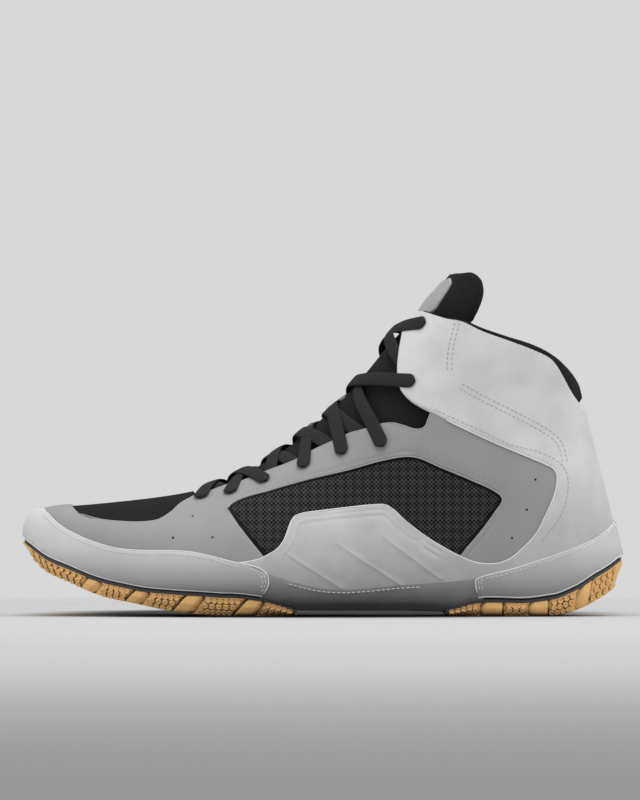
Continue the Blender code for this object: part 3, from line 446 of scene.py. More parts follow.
@dataclass
class Last:
    """The form that every layer of the upper lies on."""

    length: float = 0.290
    ball_width: float = 0.099
    heel_width: float = 0.072
    heights: tuple[float, float, float, float] = (0.0, 0.050, 0.098, 0.1467)
    toe_spring: float = 0.0324
    heel_spring: float = 0.0213
    rubber: float = 0.009
    foam: float = 0.0021
    flare: float = 0.00185
    skew: float = 1.6
    toe_roundness: float = 6.0
    pinch_at: float = 0.52
    pinch_reach: float = 0.16
    dents: Sequence[Dent] = ()

    def __post_init__(self) -> None:
        """Makes the columns from the tables."""
        sole = np.array(SOLE_TABLE).T
        self.sole = {name: Column(sole[0], sole[k + 1]) for k, name in enumerate(("toe", "heel", "rubber", "body"))}
        form = np.array(FORM_TABLE).T
        names = ("feather", "lateral", "medial", "centre", "belly", "power", "pinch")
        self.form = {name: Column(form[0], form[k + 1]) for k, name in enumerate(names)}
        ridge = np.array(RIDGE_TABLE).T
        self.ridge = {name: Column(ridge[0], ridge[k + 1]) for k, name in enumerate(("at", "level", "side"))}
        self.toe_x = -self.length / 2 + self.flare
        self.heel_x = self.length / 2 - self.flare

    def angle(self, x: np.ndarray) -> np.ndarray:
        """The angle at which the sole's tables are read, for x."""
        return np.arccos(np.clip(1 - 2 * (x / self.length + 0.5), -1, 1))

    def breadth(self, angle: np.ndarray) -> np.ndarray:
        """The width that the tables' shares are of."""
        share = (1 - np.cos(angle)) / 2
        t = np.clip((share - 0.35) / 0.5, 0, 1)
        return self.ball_width + (self.heel_width - self.ball_width) * t * t * (3 - 2 * t)

    def ground(self, x: np.ndarray) -> np.ndarray:
        """Height of the rubber's underside at x."""
        where = self.angle(x)
        return self.toe_spring * self.sole["toe"].at(where) + self.heel_spring * self.sole["heel"].at(where)

    def rubber_top(self, x: np.ndarray) -> np.ndarray:
        """Height of the rubber's upper edge at x."""
        return self.ground(x) + self.rubber * self.sole["rubber"].at(self.angle(x))

    def feather(self, x: np.ndarray) -> np.ndarray:
        """Height of the line where upper and sole meet, at x."""
        return self.ground(x) + self.rubber * self.sole["body"].at(self.angle(x)) + self.foam

    def plan(self, angle: np.ndarray, grow: np.ndarray | float) -> tuple[np.ndarray, np.ndarray, np.ndarray]:
        """The feather line's outline grown by a distance.

        Args:
            angle: angles along the shoe.
            grow: the distance.

        Returns:
            x, the middle line's y and half the width.
        """
        share = (1 - np.cos(angle)) / 2
        half = (self.form["feather"].at(angle) * self.breadth(angle) + grow) * np.sin(angle)
        middle = self.form["centre"].at(angle) * self.breadth(angle)
        x = self.toe_x - grow + share * (self.heel_x - self.toe_x + 2 * grow)
        return x, middle + SIDE_SHIFT, half

    def ridge_at(self, angle: np.ndarray) -> tuple[np.ndarray, np.ndarray]:
        """x and z of the top line, from the toe to the back of the shaft."""
        level = self.ridge["level"].at(angle)
        low = np.clip(np.floor(level), 0, 2).astype(int)
        heights = np.asarray(self.heights)
        z = heights[low] + (level - low) * (heights[low + 1] - heights[low])
        return (self.ridge["at"].at(angle) - 0.5) * self.length, z

    def place(self, angle: np.ndarray, turn: np.ndarray, lift: np.ndarray | float, drop: np.ndarray | float = 0.0) -> np.ndarray:
        """Points of the last, moved out by a lift.

        Args:
            angle: 0 at the toe, pi at the heel; below 0 or beyond pi it is the other side.
            turn: 0 at the lateral feather line, 2 on the ridge, 4 at the medial feather line.
            lift: the distance from the last.
            drop: how far the feather line is lowered.

        Returns:
            An array of points.
        """
        angle, turn = np.broadcast_arrays(np.asarray(angle, float), np.asarray(turn, float))
        grow = np.broadcast_to(np.asarray(lift, float), angle.shape)
        turn = np.where((angle < 0) | (angle > math.pi), 4 - turn, turn)
        angle = np.where(angle < 0, -angle, np.where(angle > math.pi, 2 * math.pi - angle, angle))
        side = np.where(turn <= 2, -1.0, 1.0)
        reach = np.clip(np.where(turn <= 2, turn, 4 - turn), 0, 2)
        share = (1 - np.cos(angle)) / 2
        width, sine = self.breadth(angle), np.sin(angle)
        low_half = (self.form["feather"].at(angle) * width + grow) * sine
        wide = np.where(side < 0, self.form["lateral"].at(angle), self.form["medial"].at(angle))
        wide_half = (wide * width + grow) * sine
        belly, power = self.form["belly"].at(angle), self.form["power"].at(angle)
        climb = np.sin(np.clip(reach - 1, 0, 1) * math.pi / 2)
        bend = np.clip(reach, 0, 1) * math.pi / 2
        above = reach > 1
        up = np.where(above, belly + (1 - belly) * climb, belly * (1 - np.cos(bend)))
        crown = wide_half * np.clip(1 - climb**power, 0, 1) ** (1 / power)
        half = np.where(above, crown, low_half + (wide_half - low_half) * np.sin(bend))
        half = half * (1 - self.form["pinch"].at(angle) * np.exp(-(((up - self.pinch_at) / self.pinch_reach) ** 2)))
        base_x = self.toe_x - grow + share * (self.heel_x - self.toe_x + 2 * grow)
        base_z = self.feather(base_x) - drop
        top_x, top_z = self.ridge_at(angle)
        step = 0.02
        x_a, z_a = self.ridge_at(np.clip(angle + step, 0, math.pi))
        x_b, z_b = self.ridge_at(np.clip(angle - step, 0, math.pi))
        size = np.hypot(x_a - x_b, z_a - z_b) + 1e-9
        top_x, top_z = top_x - (z_a - z_b) / size * grow, top_z + (x_a - x_b) / size * grow
        round_toe = np.clip(np.cos(angle), 0, 1) ** self.toe_roundness
        forward = round_toe * (1 - np.sqrt(np.clip(1 - up * up, 0, 1))) + (1 - round_toe) * up
        middle_low = self.form["centre"].at(angle) * width
        middle_top = self.ridge["side"].at(angle) * width
        middle = middle_low + (middle_top - middle_low) * up**self.skew + SIDE_SHIFT
        x = base_x + (top_x - base_x) * forward
        z = base_z + (top_z - base_z) * up
        return np.stack([x, middle + side * half, z], axis=-1)

    def normals(self, angle: np.ndarray, turn: np.ndarray) -> np.ndarray:
        """Outward directions at points of the last."""
        step = 0.004
        across = self.place(angle, turn + step, 0.001) - self.place(angle, turn - step, 0.001)
        onward = self.place(angle + step, turn, 0.001) - self.place(angle - step, turn, 0.001)
        normal = np.cross(onward, across)
        normal /= np.linalg.norm(normal, axis=-1, keepdims=True) + 1e-12
        outward = self.place(angle, turn, 0.003) - self.place(angle, turn, 0.0)
        return normal * np.sign((normal * outward).sum(-1, keepdims=True) + 1e-15)


SOLE_TABLE = [
    (0.000, 1.00, 0.00, 0.39, 0.39), (0.012, 0.90, 0.00, 0.42, 0.42), (0.040, 0.66, 0.00, 0.64, 0.64),
    (0.080, 0.50, 0.00, 0.67, 0.67), (0.130, 0.31, 0.00, 0.73, 0.73), (0.190, 0.19, 0.00, 0.72, 0.72),
    (0.250, 0.08, 0.00, 0.90, 0.90), (0.300, 0.03, 0.00, 0.98, 0.98), (0.345, 0.00, 0.00, 1.00, 1.00),
    (0.400, 0.00, 0.00, 0.81, 0.81), (0.430, 0.00, 0.00, 0.52, 0.58), (0.462, 0.00, 0.00, 0.17, 0.44),
    (0.550, 0.00, 0.00, 0.17, 0.42), (0.620, 0.00, 0.00, 0.17, 0.42), (0.695, 0.00, 0.00, 0.17, 0.37),
    (0.722, 0.00, 0.00, 0.34, 0.42), (0.748, 0.00, 0.00, 0.62, 0.64), (0.775, 0.00, 0.00, 0.74, 0.74),
    (0.830, 0.00, 0.00, 0.70, 0.70), (0.880, 0.00, 0.00, 0.88, 0.88), (0.915, 0.00, 0.10, 1.05, 1.05),
    (0.955, 0.00, 0.35, 1.24, 1.24), (0.985, 0.00, 0.62, 1.20, 1.20), (1.000, 0.00, 1.00, 0.60, 0.60),
]
FORM_TABLE = [
    (0.000, 0.630, 0.660, 0.660, 0.070, 0.35, 2.0, 0.00), (0.030, 0.635, 0.685, 0.675, 0.066, 0.35, 2.2, 0.00),
    (0.080, 0.632, 0.690, 0.680, 0.050, 0.35, 2.4, 0.00), (0.150, 0.587, 0.640, 0.637, 0.030, 0.34, 2.4, 0.00),
    (0.250, 0.525, 0.577, 0.566, 0.010, 0.32, 2.2, 0.00), (0.330, 0.484, 0.538, 0.506, -0.005, 0.30, 2.0, 0.00),
    (0.420, 0.425, 0.500, 0.450, -0.021, 0.28, 1.85, 0.00), (0.520, 0.380, 0.482, 0.443, -0.034, 0.26, 1.8, 0.00),
    (0.620, 0.381, 0.495, 0.482, -0.037, 0.24, 2.6, 0.00), (0.720, 0.432, 0.530, 0.530, -0.026, 0.23, 4.2, 0.00),
    (0.800, 0.515, 0.610, 0.615, -0.014, 0.22, 7.0, 0.03), (0.880, 0.625, 0.725, 0.725, 0.000, 0.22, 9.0, 0.12),
    (0.950, 0.715, 0.850, 0.850, 0.000, 0.22, 10.0, 0.15), (1.000, 0.760, 0.880, 0.880, 0.000, 0.22, 10.0, 0.15),
]
RIDGE_TABLE = [
    (0.00, 0.038, 1.020, 0.070), (0.03, 0.062, 1.047, 0.070), (0.08, 0.105, 1.068, 0.070), (0.15, 0.165, 1.103, 0.070),
    (0.22, 0.228, 1.148, 0.080), (0.28, 0.285, 1.208, 0.090), (0.33, 0.342, 1.324, 0.100), (0.38, 0.395, 1.495, 0.115),
    (0.43, 0.445, 1.692, 0.130), (0.48, 0.490, 1.924, 0.140), (0.53, 0.532, 2.158, 0.140), (0.58, 0.568, 2.402, 0.120),
    (0.63, 0.602, 2.650, 0.095), (0.68, 0.642, 2.913, 0.065), (0.73, 0.688, 3.211, 0.040), (0.78, 0.738, 3.524, 0.025),
    (0.83, 0.792, 3.653, 0.010), (0.89, 0.842, 3.614, 0.000), (0.95, 0.873, 3.435, 0.000), (1.00, 0.883, 3.196, 0.000),
]

LAST = Last()


class Wrap(Enum):
    """Where a patch may pass from the lateral to the medial side."""

    OVER = "over the ridge"
    TOE = "round the toe"
    HEEL = "round the heel"

    def turned(self, spots: np.ndarray) -> np.ndarray:
        """Lateral spots (angle, turn) carried to the medial side in this wrap's coordinates."""
        angle, turn = spots[:, 0], spots[:, 1]
        if self is Wrap.OVER:
            return np.stack([angle, 4 - turn], axis=1)
        if self is Wrap.TOE:
            return np.stack([-angle, turn], axis=1)
        return np.stack([2 * math.pi - angle, turn], axis=1)


class Drawing:
    """Reads edges of the side view as spots (angle, turn) on the last."""

    def __init__(self, last: Last) -> None:
        """Samples the last once, to look spots up in.

        Args:
            last: the form.
        """
        self.last = last
        self.angles, self.turns = np.meshgrid(np.linspace(0, math.pi, 261), np.linspace(0, 2, 141), indexing="ij")
        points = last.place(self.angles, self.turns, 0.001)
        self.seen = points[..., (0, 2)].reshape(-1, 2)

    def smooth(self, line: Points, spacing: float, closed: bool = False) -> np.ndarray:
        """A line of the drawing as evenly spaced metres, curved between its points except at sharp corners.

        Args:
            line: the points, in drawing units.
            spacing: the distance between results, in metres.
            closed: whether its end joins its start.

        Returns:
            An array of (x, z).
        """
        raw = np.array([((px - DRAWING_MIDDLE) * DRAWING_UNIT, (DRAWING_FLOOR - py) * DRAWING_UNIT) for px, py in line])
        count = len(raw)
        spans = count if closed else count - 1
        result = []
        for k in range(spans):
            a, b = raw[k], raw[(k + 1) % count]
            before = raw[k - 1] if closed or k > 0 else a
            after = raw[(k + 2) % count] if closed or k + 2 < count else b
            size = np.linalg.norm(b - a)
            start, end = self.tangent(before, a, b, size), self.tangent(a, b, after, size)
            pieces = max(1, int(round(size / spacing)))
            for t in np.arange(pieces) / pieces:
                result.append(
                    a * (1 + 2 * t) * (1 - t) ** 2 + b * t * t * (3 - 2 * t)
                    + start * t * (1 - t) ** 2 - end * t * t * (1 - t)
                )
        if not closed:
            result.append(raw[-1])
        return np.array(result)

    @staticmethod
    def tangent(before: np.ndarray, here: np.ndarray, after: np.ndarray, size: float) -> np.ndarray:
        """The curve's tangent at a point, of a given size, or along the span itself at a sharp corner."""
        first, second = here - before, after - here
        if np.linalg.norm(first) < 1e-9:
            return second / (np.linalg.norm(second) + 1e-12) * size
        if np.linalg.norm(second) < 1e-9:
            return first / np.linalg.norm(first) * size
        first, second = first / np.linalg.norm(first), second / np.linalg.norm(second)
        if first @ second < 0.55:
            return (first + second) * 0.25 * size
        mean = first + second
        return mean / np.linalg.norm(mean) * size

    def spots(self, line: Points, wrap: Wrap, side: int = -1, spacing: float = 0.0011) -> np.ndarray:
        """A line of the side view as spots on the last.

        Args:
            line: the points, in drawing units.
            wrap: the coordinates to give them in.
            side: -1 for the lateral side and 1 for the medial.
            spacing: the distance between spots, in metres.

        Returns:
            An array of (angle, turn).
        """
        result = self.find_all(self.smooth(line, spacing))
        return result if side < 0 else wrap.turned(result)

    def find_all(self, points: np.ndarray) -> np.ndarray:
        """The lateral spots that are seen at points (x, z), or the nearest ones."""
        best = np.array([int(((self.seen - point) ** 2).sum(1).argmin()) for point in points])
        spots = np.stack([self.angles.flat[best], self.turns.flat[best]], axis=1)
        step = 1e-3
        for _ in range(8):
            angle, turn = spots[:, 0], spots[:, 1]
            here = self.last.place(angle, turn, 0.001)[:, (0, 2)]
            ahead, behind = np.minimum(angle + step, math.pi), np.maximum(angle - step, 0)
            over, under = np.minimum(turn + step, 2), np.maximum(turn - step, 0)
            by_angle = self.last.place(ahead, turn, 0.001)[:, (0, 2)] - self.last.place(behind, turn, 0.001)[:, (0, 2)]
            by_turn = self.last.place(angle, over, 0.001)[:, (0, 2)] - self.last.place(angle, under, 0.001)[:, (0, 2)]
            by_angle, by_turn = by_angle / (ahead - behind)[:, None], by_turn / (over - under)[:, None]
            miss = points - here
            aa, at, tt = (by_angle**2).sum(1) + 1e-7, (by_angle * by_turn).sum(1), (by_turn**2).sum(1) + 1e-7
            ra, rt = (by_angle * miss).sum(1), (by_turn * miss).sum(1)
            size = aa * tt - at * at
            push = np.stack([(tt * ra - at * rt) / size, (aa * rt - at * ra) / size], axis=1)
            spots = np.clip(spots + np.clip(push, -0.05, 0.05), 0.0, [math.pi, 2.0])
        return spots


# ---- Patches and threads ----


def finish_object(bm: bmesh.types.BMesh, name: str, finish: Finish, nodes: Sequence[str]) -> bpy.types.Object:
    """Makes an object that rides on the shoe.

    Args:
        bm: its mesh, which is freed.
        name: its name.
        finish: its finish.
        nodes: the solids that it stands for.

    Returns:
        The object.
    """
    mesh = bpy.data.meshes.new(name)
    bm.to_mesh(mesh)
    bm.free()
    mesh.materials.append(WARDROBE.get(finish))
    mesh.shade_smooth()
    obj = bpy.data.objects.new(name, mesh)
    bpy.context.collection.objects.link(obj)
    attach(obj, "root")
    if nodes:
        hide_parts(*nodes)
    log.info("%s: %d faces", name, len(mesh.polygons))
    return obj


def draw_coordinates(bm: bmesh.types.BMesh, axes: tuple[int, int]) -> None:
    """Writes two of each point's coordinates as the mesh's drawing coordinates, in metres."""
    layer = bm.loops.layers.uv.new("drawing")
    for face in bm.faces:
        for loop in face.loops:
            loop[layer].uv = (loop.vert.co[axes[0]], loop.vert.co[axes[1]])


def inside(points: np.ndarray, outline: np.ndarray) -> np.ndarray:
    """Which points are inside an outline."""
    found = np.zeros(len(points), bool)
    a, b = outline, np.roll(outline, -1, axis=0)
    for (ax, ay), (bx, by) in zip(a, b):
        if ay == by:
            continue
        crosses = (ay > points[:, 1]) != (by > points[:, 1])
        at = ax + (bx - ax) * (points[:, 1] - ay) / (by - ay)
        found ^= crosses & (points[:, 0] < at)
    return found


def off_line(spots: np.ndarray, distance: float, closed: bool, lift: float = 0.001) -> np.ndarray:
    """Spots moved square off a line, to its left, by a distance measured on the last.

    Args:
        spots: the line's spots.
        distance: how far, in metres.
        closed: whether the line's end joins its start.
        lift: the lift at which it is measured.

    Returns:
        The moved spots.
    """
    if closed:
        ahead = np.roll(spots, -1, axis=0) - np.roll(spots, 1, axis=0)
    else:
        ahead = np.gradient(spots, axis=0)
    step = 1e-3
    angle, turn = spots[:, 0], spots[:, 1]
    by_angle = (LAST.place(angle + step, turn, lift) - LAST.place(angle - step, turn, lift)) / (2 * step)
    low, high = np.clip(turn - step, 0, 4), np.clip(turn + step, 0, 4)
    by_turn = (LAST.place(angle, high, lift) - LAST.place(angle, low, lift)) / (high - low)[:, None]
    aa = (by_angle * by_angle).sum(1) + 1e-5
    at = (by_angle * by_turn).sum(1)
    tt = (by_turn * by_turn).sum(1) + 1e-5
    left = np.stack([-ahead[:, 1], ahead[:, 0]], axis=1)
    determinant = aa * tt - at * at
    push = np.stack([(tt * left[:, 0] - at * left[:, 1]), (aa * left[:, 1] - at * left[:, 0])], axis=1)
    push /= determinant[:, None]
    size = np.sqrt(aa * push[:, 0] ** 2 + 2 * at * push[:, 0] * push[:, 1] + tt * push[:, 1] ** 2) + 1e-12
    return spots + push / size[:, None] * distance


@dataclass
class Groove:
    """A pressed line in a patch, or a raised one where its depth is below zero."""

    spots: np.ndarray
    width: float = 0.0006
    depth: float = 0.00025


@dataclass
class Patch:
    """A piece of leather or cloth on the last, with a rolled edge and pressed lines."""

    name: str
    finish: Finish
    outline: np.ndarray
    profile: Sequence[tuple[float, float]]
    base: float
    nodes: Sequence[str] = ()
    slot: str = "white"
    grooves: Sequence[Groove] = ()
    step: float = 0.0024
    axes: tuple[int, int] = (0, 2)
    holes: Sequence[np.ndarray] = ()
    swell: Callable[[np.ndarray], np.ndarray] | None = None

    def __post_init__(self) -> None:
        """Turns the loops so that the cloth lies to their left, and indexes its edges."""
        self.loops = [self.turned(self.outline, 1)] + [self.turned(hole, -1) for hole in self.holes]
        self.top = self.profile[-1][1]
        self.edges = self.index(np.concatenate([self.halved(loop) for loop in self.loops]))
        self.lines = [self.index(groove.spots) for groove in self.grooves]

    @staticmethod
    def turned(loop: np.ndarray, way: int) -> np.ndarray:
        """A loop in the wanted direction, 1 for anticlockwise."""
        after = np.roll(loop, -1, axis=0)
        area = (loop[:, 0] * after[:, 1] - after[:, 0] * loop[:, 1]).sum()
        return loop if area * way > 0 else loop[::-1].copy()

    @staticmethod
    def halved(loop: np.ndarray) -> np.ndarray:
        """A loop's spots with the middles of its sides."""
        return np.concatenate([loop, (loop + np.roll(loop, -1, axis=0)) / 2])

    def index(self, spots: np.ndarray) -> KDTree:
        """A tree of the places of spots, to measure distances from."""
        tree = KDTree(len(spots))
        for k, point in enumerate(LAST.place(spots[:, 0], spots[:, 1], self.top)):
            tree.insert(Vector(point), k)
        tree.balance()
        return tree

    def within(self, spots: np.ndarray) -> np.ndarray:
        """Which spots lie on the patch."""
        found = inside(spots, self.loops[0])
        for hole in self.loops[1:]:
            found &= ~inside(spots, hole)
        return found

    def away(self, spots: np.ndarray, tree: KDTree) -> np.ndarray:
        """How far spots are from the points in a tree."""
        points = LAST.place(spots[:, 0], spots[:, 1], self.top)
        return np.array([tree.find(Vector(point))[2] for point in points])

    def seeds(self) -> tuple[np.ndarray, np.ndarray]:
        """Works out where the mesh has its points.

        Returns:
            The spots, the loops first, and each one's distance from the edge.
        """
        edge = np.concatenate(self.loops)
        spots, depths = [edge], [np.zeros(len(edge))]
        widest = self.profile[-1][0]
        for distance, _ in self.profile[1:]:
            for loop in self.loops:
                ring = off_line(loop, distance, True)
                ring = ring[self.within(ring)]
                away = self.away(ring, self.edges)
                ring = ring[away > distance * 0.8]
                spots.append(ring)
                depths.append(np.full(len(ring), distance))
        for groove in self.grooves:
            for share in (0.0, 0.5, -0.5, 1.0, -1.0):
                row = off_line(groove.spots, groove.width * share, False)
                row = row[self.within(row)]
                away = self.away(row, self.edges)
                keep = away > widest * 0.7
                spots.append(row[keep])
                depths.append(away[keep])
        grid, away = self.lattice(widest + self.step * 0.4)
        spots.append(grid)
        depths.append(away)
        return np.concatenate(spots), np.concatenate(depths)

    def lattice(self, clear: float) -> tuple[np.ndarray, np.ndarray]:
        """Even rows of spots inside the patch.

        Args:
            clear: how far they keep from its edges.

        Returns:
            The spots and their distances from the edge.
        """
        outline = self.loops[0]
        low, high = outline.min(0), outline.max(0)
        rows = []
        for angle in np.arange(low[0], high[0], 0.004):
            if not rows or LAST.length / 2 * abs(math.cos(rows[-1]) - math.cos(angle)) > self.step * 0.9 \
                    or angle - rows[-1] > 0.05:
                rows.append(float(angle))
        spots = []
        for k, angle in enumerate(rows):
            turns = np.linspace(low[1], high[1], 400)
            places = LAST.place(np.full(400, angle), turns, self.top)
            along = np.concatenate([[0], np.cumsum(np.linalg.norm(np.diff(places, axis=0), axis=1))])
            at = np.arange(self.step * (0.5 if k % 2 else 0.99), along[-1], self.step)
            spots.append(np.stack([np.full(len(at), angle), np.interp(at, along, turns)], axis=1))
        grid = np.concatenate(spots)
        grid = grid[self.within(grid)]
        away = self.away(grid, self.edges)
        grid, away = grid[away > clear], away[away > clear]
        for groove, tree in zip(self.grooves, self.lines):
            keep = self.away(grid, tree) > groove.width + self.step * 0.35
            grid, away = grid[keep], away[keep]
        return grid, away

    def lifts(self, spots: np.ndarray, depths: np.ndarray) -> np.ndarray:
        """The lift at each spot, from its distance to the edge and to the pressed lines."""
        lift = np.interp(depths, [row[0] for row in self.profile], [row[1] for row in self.profile])
        for groove, tree in zip(self.grooves, self.lines):
            ratio = np.clip(self.away(spots, tree) / groove.width, 0, 1)
            lift = lift - groove.depth * (1 - ratio**2) ** 2
        return lift

    def build(self) -> bpy.types.Object:
        """Builds the patch.

        Returns:
            The object.
        """
        spots, depths = self.seeds()
        lifts = self.lifts(spots, depths) + (self.swell(spots) if self.swell else 0.0)
        scale = np.array([0.145, 0.05])
        rings, start = [], 0
        for loop in self.loops:
            count = len(loop)
            rings += [(start + k, start + (k + 1) % count) for k in range(count)]
            start += count
        found = delaunay_2d_cdt([Vector(spot) for spot in spots * scale], rings, [], 0, 1e-8)
        corners, faces, sources = found[0], found[2], found[3]
        places = np.array([tuple(corner) for corner in corners]) / scale
        heights = np.array([lifts[source[0]] if source else self.profile[0][1] for source in sources])
        rim = {}
        for k, source in enumerate(sources):
            for name in source:
                if name < start:
                    rim[name] = k
        middles = np.array([places[list(face)].mean(0) for face in faces])
        keep = self.within(middles)
        bm = bmesh.new()
        verts = [bm.verts.new(point) for point in LAST.place(places[:, 0], places[:, 1], heights)]
        for face, wanted in zip(faces, keep):
            if wanted:
                bm.faces.new([verts[k] for k in face])
        edge = np.concatenate(self.loops)
        base = self.base + (self.swell(edge) if self.swell else 0.0)
        low = [bm.verts.new(point) for point in LAST.place(edge[:, 0], edge[:, 1], base)]
        for k, m in rings:
            if k in rim and m in rim and rim[k] != rim[m]:
                bm.faces.new((verts[rim[k]], verts[rim[m]], low[m], low[k]))
        bmesh.ops.delete(bm, geom=[vert for vert in bm.verts if not vert.link_faces], context="VERTS")
        bmesh.ops.recalc_face_normals(bm, faces=bm.faces)
        self.face_out(bm)
        draw_coordinates(bm, self.axes)
        return finish_object(bm, self.name, self.finish, self.nodes)

    def face_out(self, bm: bmesh.types.BMesh) -> None:
        """Turns the faces so that most of them look away from the last."""
        bm.normal_update()
        tree = BVHTree.FromBMesh(bm)
        inner = off_line(self.loops[0], self.profile[-1][0] + 0.002, True)[::25]
        votes = 0.0
        outward = LAST.normals(inner[:, 0], inner[:, 1])
        for point, normal in zip(LAST.place(inner[:, 0], inner[:, 1], self.top), outward):
            hit = tree.find_nearest(Vector(point))
            if hit[1] is not None:
                votes += hit[1].dot(Vector(normal))
        if votes < 0:
            bmesh.ops.reverse_faces(bm, faces=bm.faces)


@dataclass
class Threads:
    """Stitches, joined into one mesh."""

    name: str
    finish: Finish
    slot: str
    length: float = 0.0017
    gap: float = 0.0007
    radius: float = 0.00024
    sides: int = 5

    def __post_init__(self) -> None:
        """Starts the mesh."""
        self.bm = bmesh.new()
        self.count = 0

    def run(self, spots: np.ndarray, lift: float, drop: float = 0.0) -> None:
        """Sews one row.

        Args:
            spots: the row's spots on the last.
            lift: the surface that it is sewn on.
            drop: how far the feather line is lowered.
        """
        points = LAST.place(spots[:, 0], spots[:, 1], lift + self.radius * 0.35, drop)
        normals = LAST.normals(spots[:, 0], spots[:, 1])
        self.sew(points, normals)

    def sew(self, points: np.ndarray, normals: np.ndarray) -> None:
        """Sews one row along points with their outward directions."""
        steps = np.linalg.norm(np.diff(points, axis=0), axis=1)
        along = np.concatenate([[0.0], np.cumsum(steps)])
        start = self.gap
        while start + self.length < along[-1]:
            at = start + self.length * np.array([0.0, 0.22, 0.78, 1.0])
            middle = np.stack([np.interp(at, along, points[:, k]) for k in range(3)], axis=1)
            up = np.stack([np.interp(at, along, normals[:, k]) for k in range(3)], axis=1)
            self.stitch(middle, up)
            start += self.length + self.gap

    def stitch(self, middle: np.ndarray, up: np.ndarray) -> None:
        """Adds one stitch, thick in the middle and sunk at both ends."""
        ahead = middle[-1] - middle[0]
        ahead = ahead / (np.linalg.norm(ahead) + 1e-12)
        rings = []
        for k, (size, sink) in enumerate(((0.35, 0.9), (1.0, 0.0), (1.0, 0.0), (0.35, 0.9))):
            normal = up[k] / (np.linalg.norm(up[k]) + 1e-12)
            across = np.cross(normal, ahead)
            base = middle[k] - normal * self.radius * sink
            ring = []
            for m in range(self.sides):
                turn = 2 * math.pi * m / self.sides
                offset = across * math.cos(turn) + normal * math.sin(turn)
                ring.append(self.bm.verts.new(base + offset * self.radius * size))
            rings.append(ring)
        for first, second in zip(rings, rings[1:]):
            for m in range(self.sides):
                n = (m + 1) % self.sides
                self.bm.faces.new((first[m], first[n], second[n], second[m]))
        self.bm.faces.new(rings[0][::-1])
        self.bm.faces.new(rings[-1])
        self.count += 1

    def build(self) -> bpy.types.Object:
        """Builds the stitches.

        Returns:
            The object.
        """
        bmesh.ops.recalc_face_normals(self.bm, faces=self.bm.faces)
        draw_coordinates(self.bm, (0, 2))
        log.info("%s: %d stitches", self.name, self.count)
        return finish_object(self.bm, self.name, self.finish, ())


# ---- Edges, as they are seen in the side view ----

VAMP_EDGE = [
    (71.4, 504.2), (81.6, 513.3), (102, 518.4), (122.4, 520.4), (142.9, 520.8), (159.2, 518.4), (171.4, 511.2),
    (181, 502.5), (196, 494),
]
LATERAL_THROAT = [
    (196, 494), (212, 489.4), (226, 484.5), (241.7, 480.2), (264, 471.5), (298, 458), (309, 451.6), (333, 440.3),
    (348, 433.3), (368, 427.7), (382, 423.5), (393, 422.8), (402, 425), (417, 429), (423.6, 426.7), (428, 417),
    (430, 412.4),
]
MEDIAL_THROAT = [
    (196, 494), (212, 488), (240, 477), (265, 465), (283, 455), (295, 446), (298.5, 434), (307, 424.5), (316, 422),
    (323, 421), (326, 409.5), (334, 402.5), (343, 396), (354.5, 391.5), (362, 394), (370, 388), (375, 374),
    (383, 359), (392, 346), (404, 331), (412, 319), (417, 311.7),
]
CUFF_FRONT = [
    (430, 412.4), (421, 408), (408, 399.6), (400.8, 391), (397.6, 380), (397, 369), (398.7, 352), (402, 334.6),
    (404, 326), (410.3, 317.4), (417, 311.7),
]
COLLAR_TOP = [
    (417, 311.7), (424, 312), (432, 314.5), (445.9, 318.8), (461.5, 322), (480, 331), (503, 339.6), (530.5, 349.9),
    (548.9, 359.1), (554.6, 365.4), (562.7, 379.2), (569.6, 391.8), (578, 404),
]
LINING_TOP = [
    (417, 311.2), (424, 311.6), (432, 314.0), (446, 318.2), (461.5, 320.4), (480, 328.1), (503, 336.2),
    (530.5, 344.8), (548.9, 354), (560.4, 362), (571.8, 373.5), (577.6, 383.8), (580, 392),
]
SADDLE_TOP = [
    (240, 562), (258, 558.6), (268.5, 554), (277.4, 548.4), (283.8, 540.8), (287.6, 531.8), (291.4, 521.6),
    (295.3, 516), (301.6, 513.3), (322, 510.2), (347.6, 507), (373, 504.4), (384.5, 504.4), (391, 507.6),
    (405, 520.4), (425.5, 536.1), (442, 546.3), (456, 554), (470, 560.3), (484, 563), (497, 562.2), (508.4, 557.8),
    (521, 547.6), (534, 533.5), (544, 514.4), (551.8, 496.5), (555, 482.5), (555, 474.8), (551.8, 469),
    (544, 464.6), (527.6, 457.6), (502, 446.8), (476.5, 435.3), (446, 420.6), (430, 412.4),
]
WINDOW_EDGE = [
    (227.7, 507), (232.8, 501.9), (271, 489), (309, 478.3), (347.6, 469.3), (379.4, 460.4), (405, 456),
    (416.6, 457), (438, 466), (470, 479.3), (494.4, 490.8), (500.8, 496), (501.4, 500.4), (495.7, 509.3),
    (483, 527), (471.4, 541), (463.8, 549.5), (456.8, 558),
]
WINDOW_UNDER = [
    (440, 552), (424, 542), (403, 526), (390, 514), (383, 510.5), (373, 510.5), (347.6, 513), (322, 516),
    (303, 519), (298, 523), (293, 534), (289, 545), (281, 553), (268, 559), (258, 548), (239, 524),
]
TOE_TOP = [
    (45.8, 510.2), (48.5, 514.3), (61, 525.5), (81.6, 536.7), (102, 544.3), (122.4, 549), (142.9, 550.6),
    (173.5, 550.6), (193.9, 552), (214.3, 556.1), (234.7, 561.2), (244.9, 562.9), (267.3, 572.4),
]
TOE_END = [(267.3, 572.4), (269.4, 582.7), (265, 592), (262, 601)]
HEEL_TOP = [
    (614, 520), (603.6, 531.3), (592.7, 538.9), (571, 548.7), (538.5, 559.5), (506, 569.3), (477.8, 576.8),
    (473.5, 579.5),
]
HEEL_END = [(473.5, 579.5), (473.5, 585), (475, 592), (476.5, 602)]
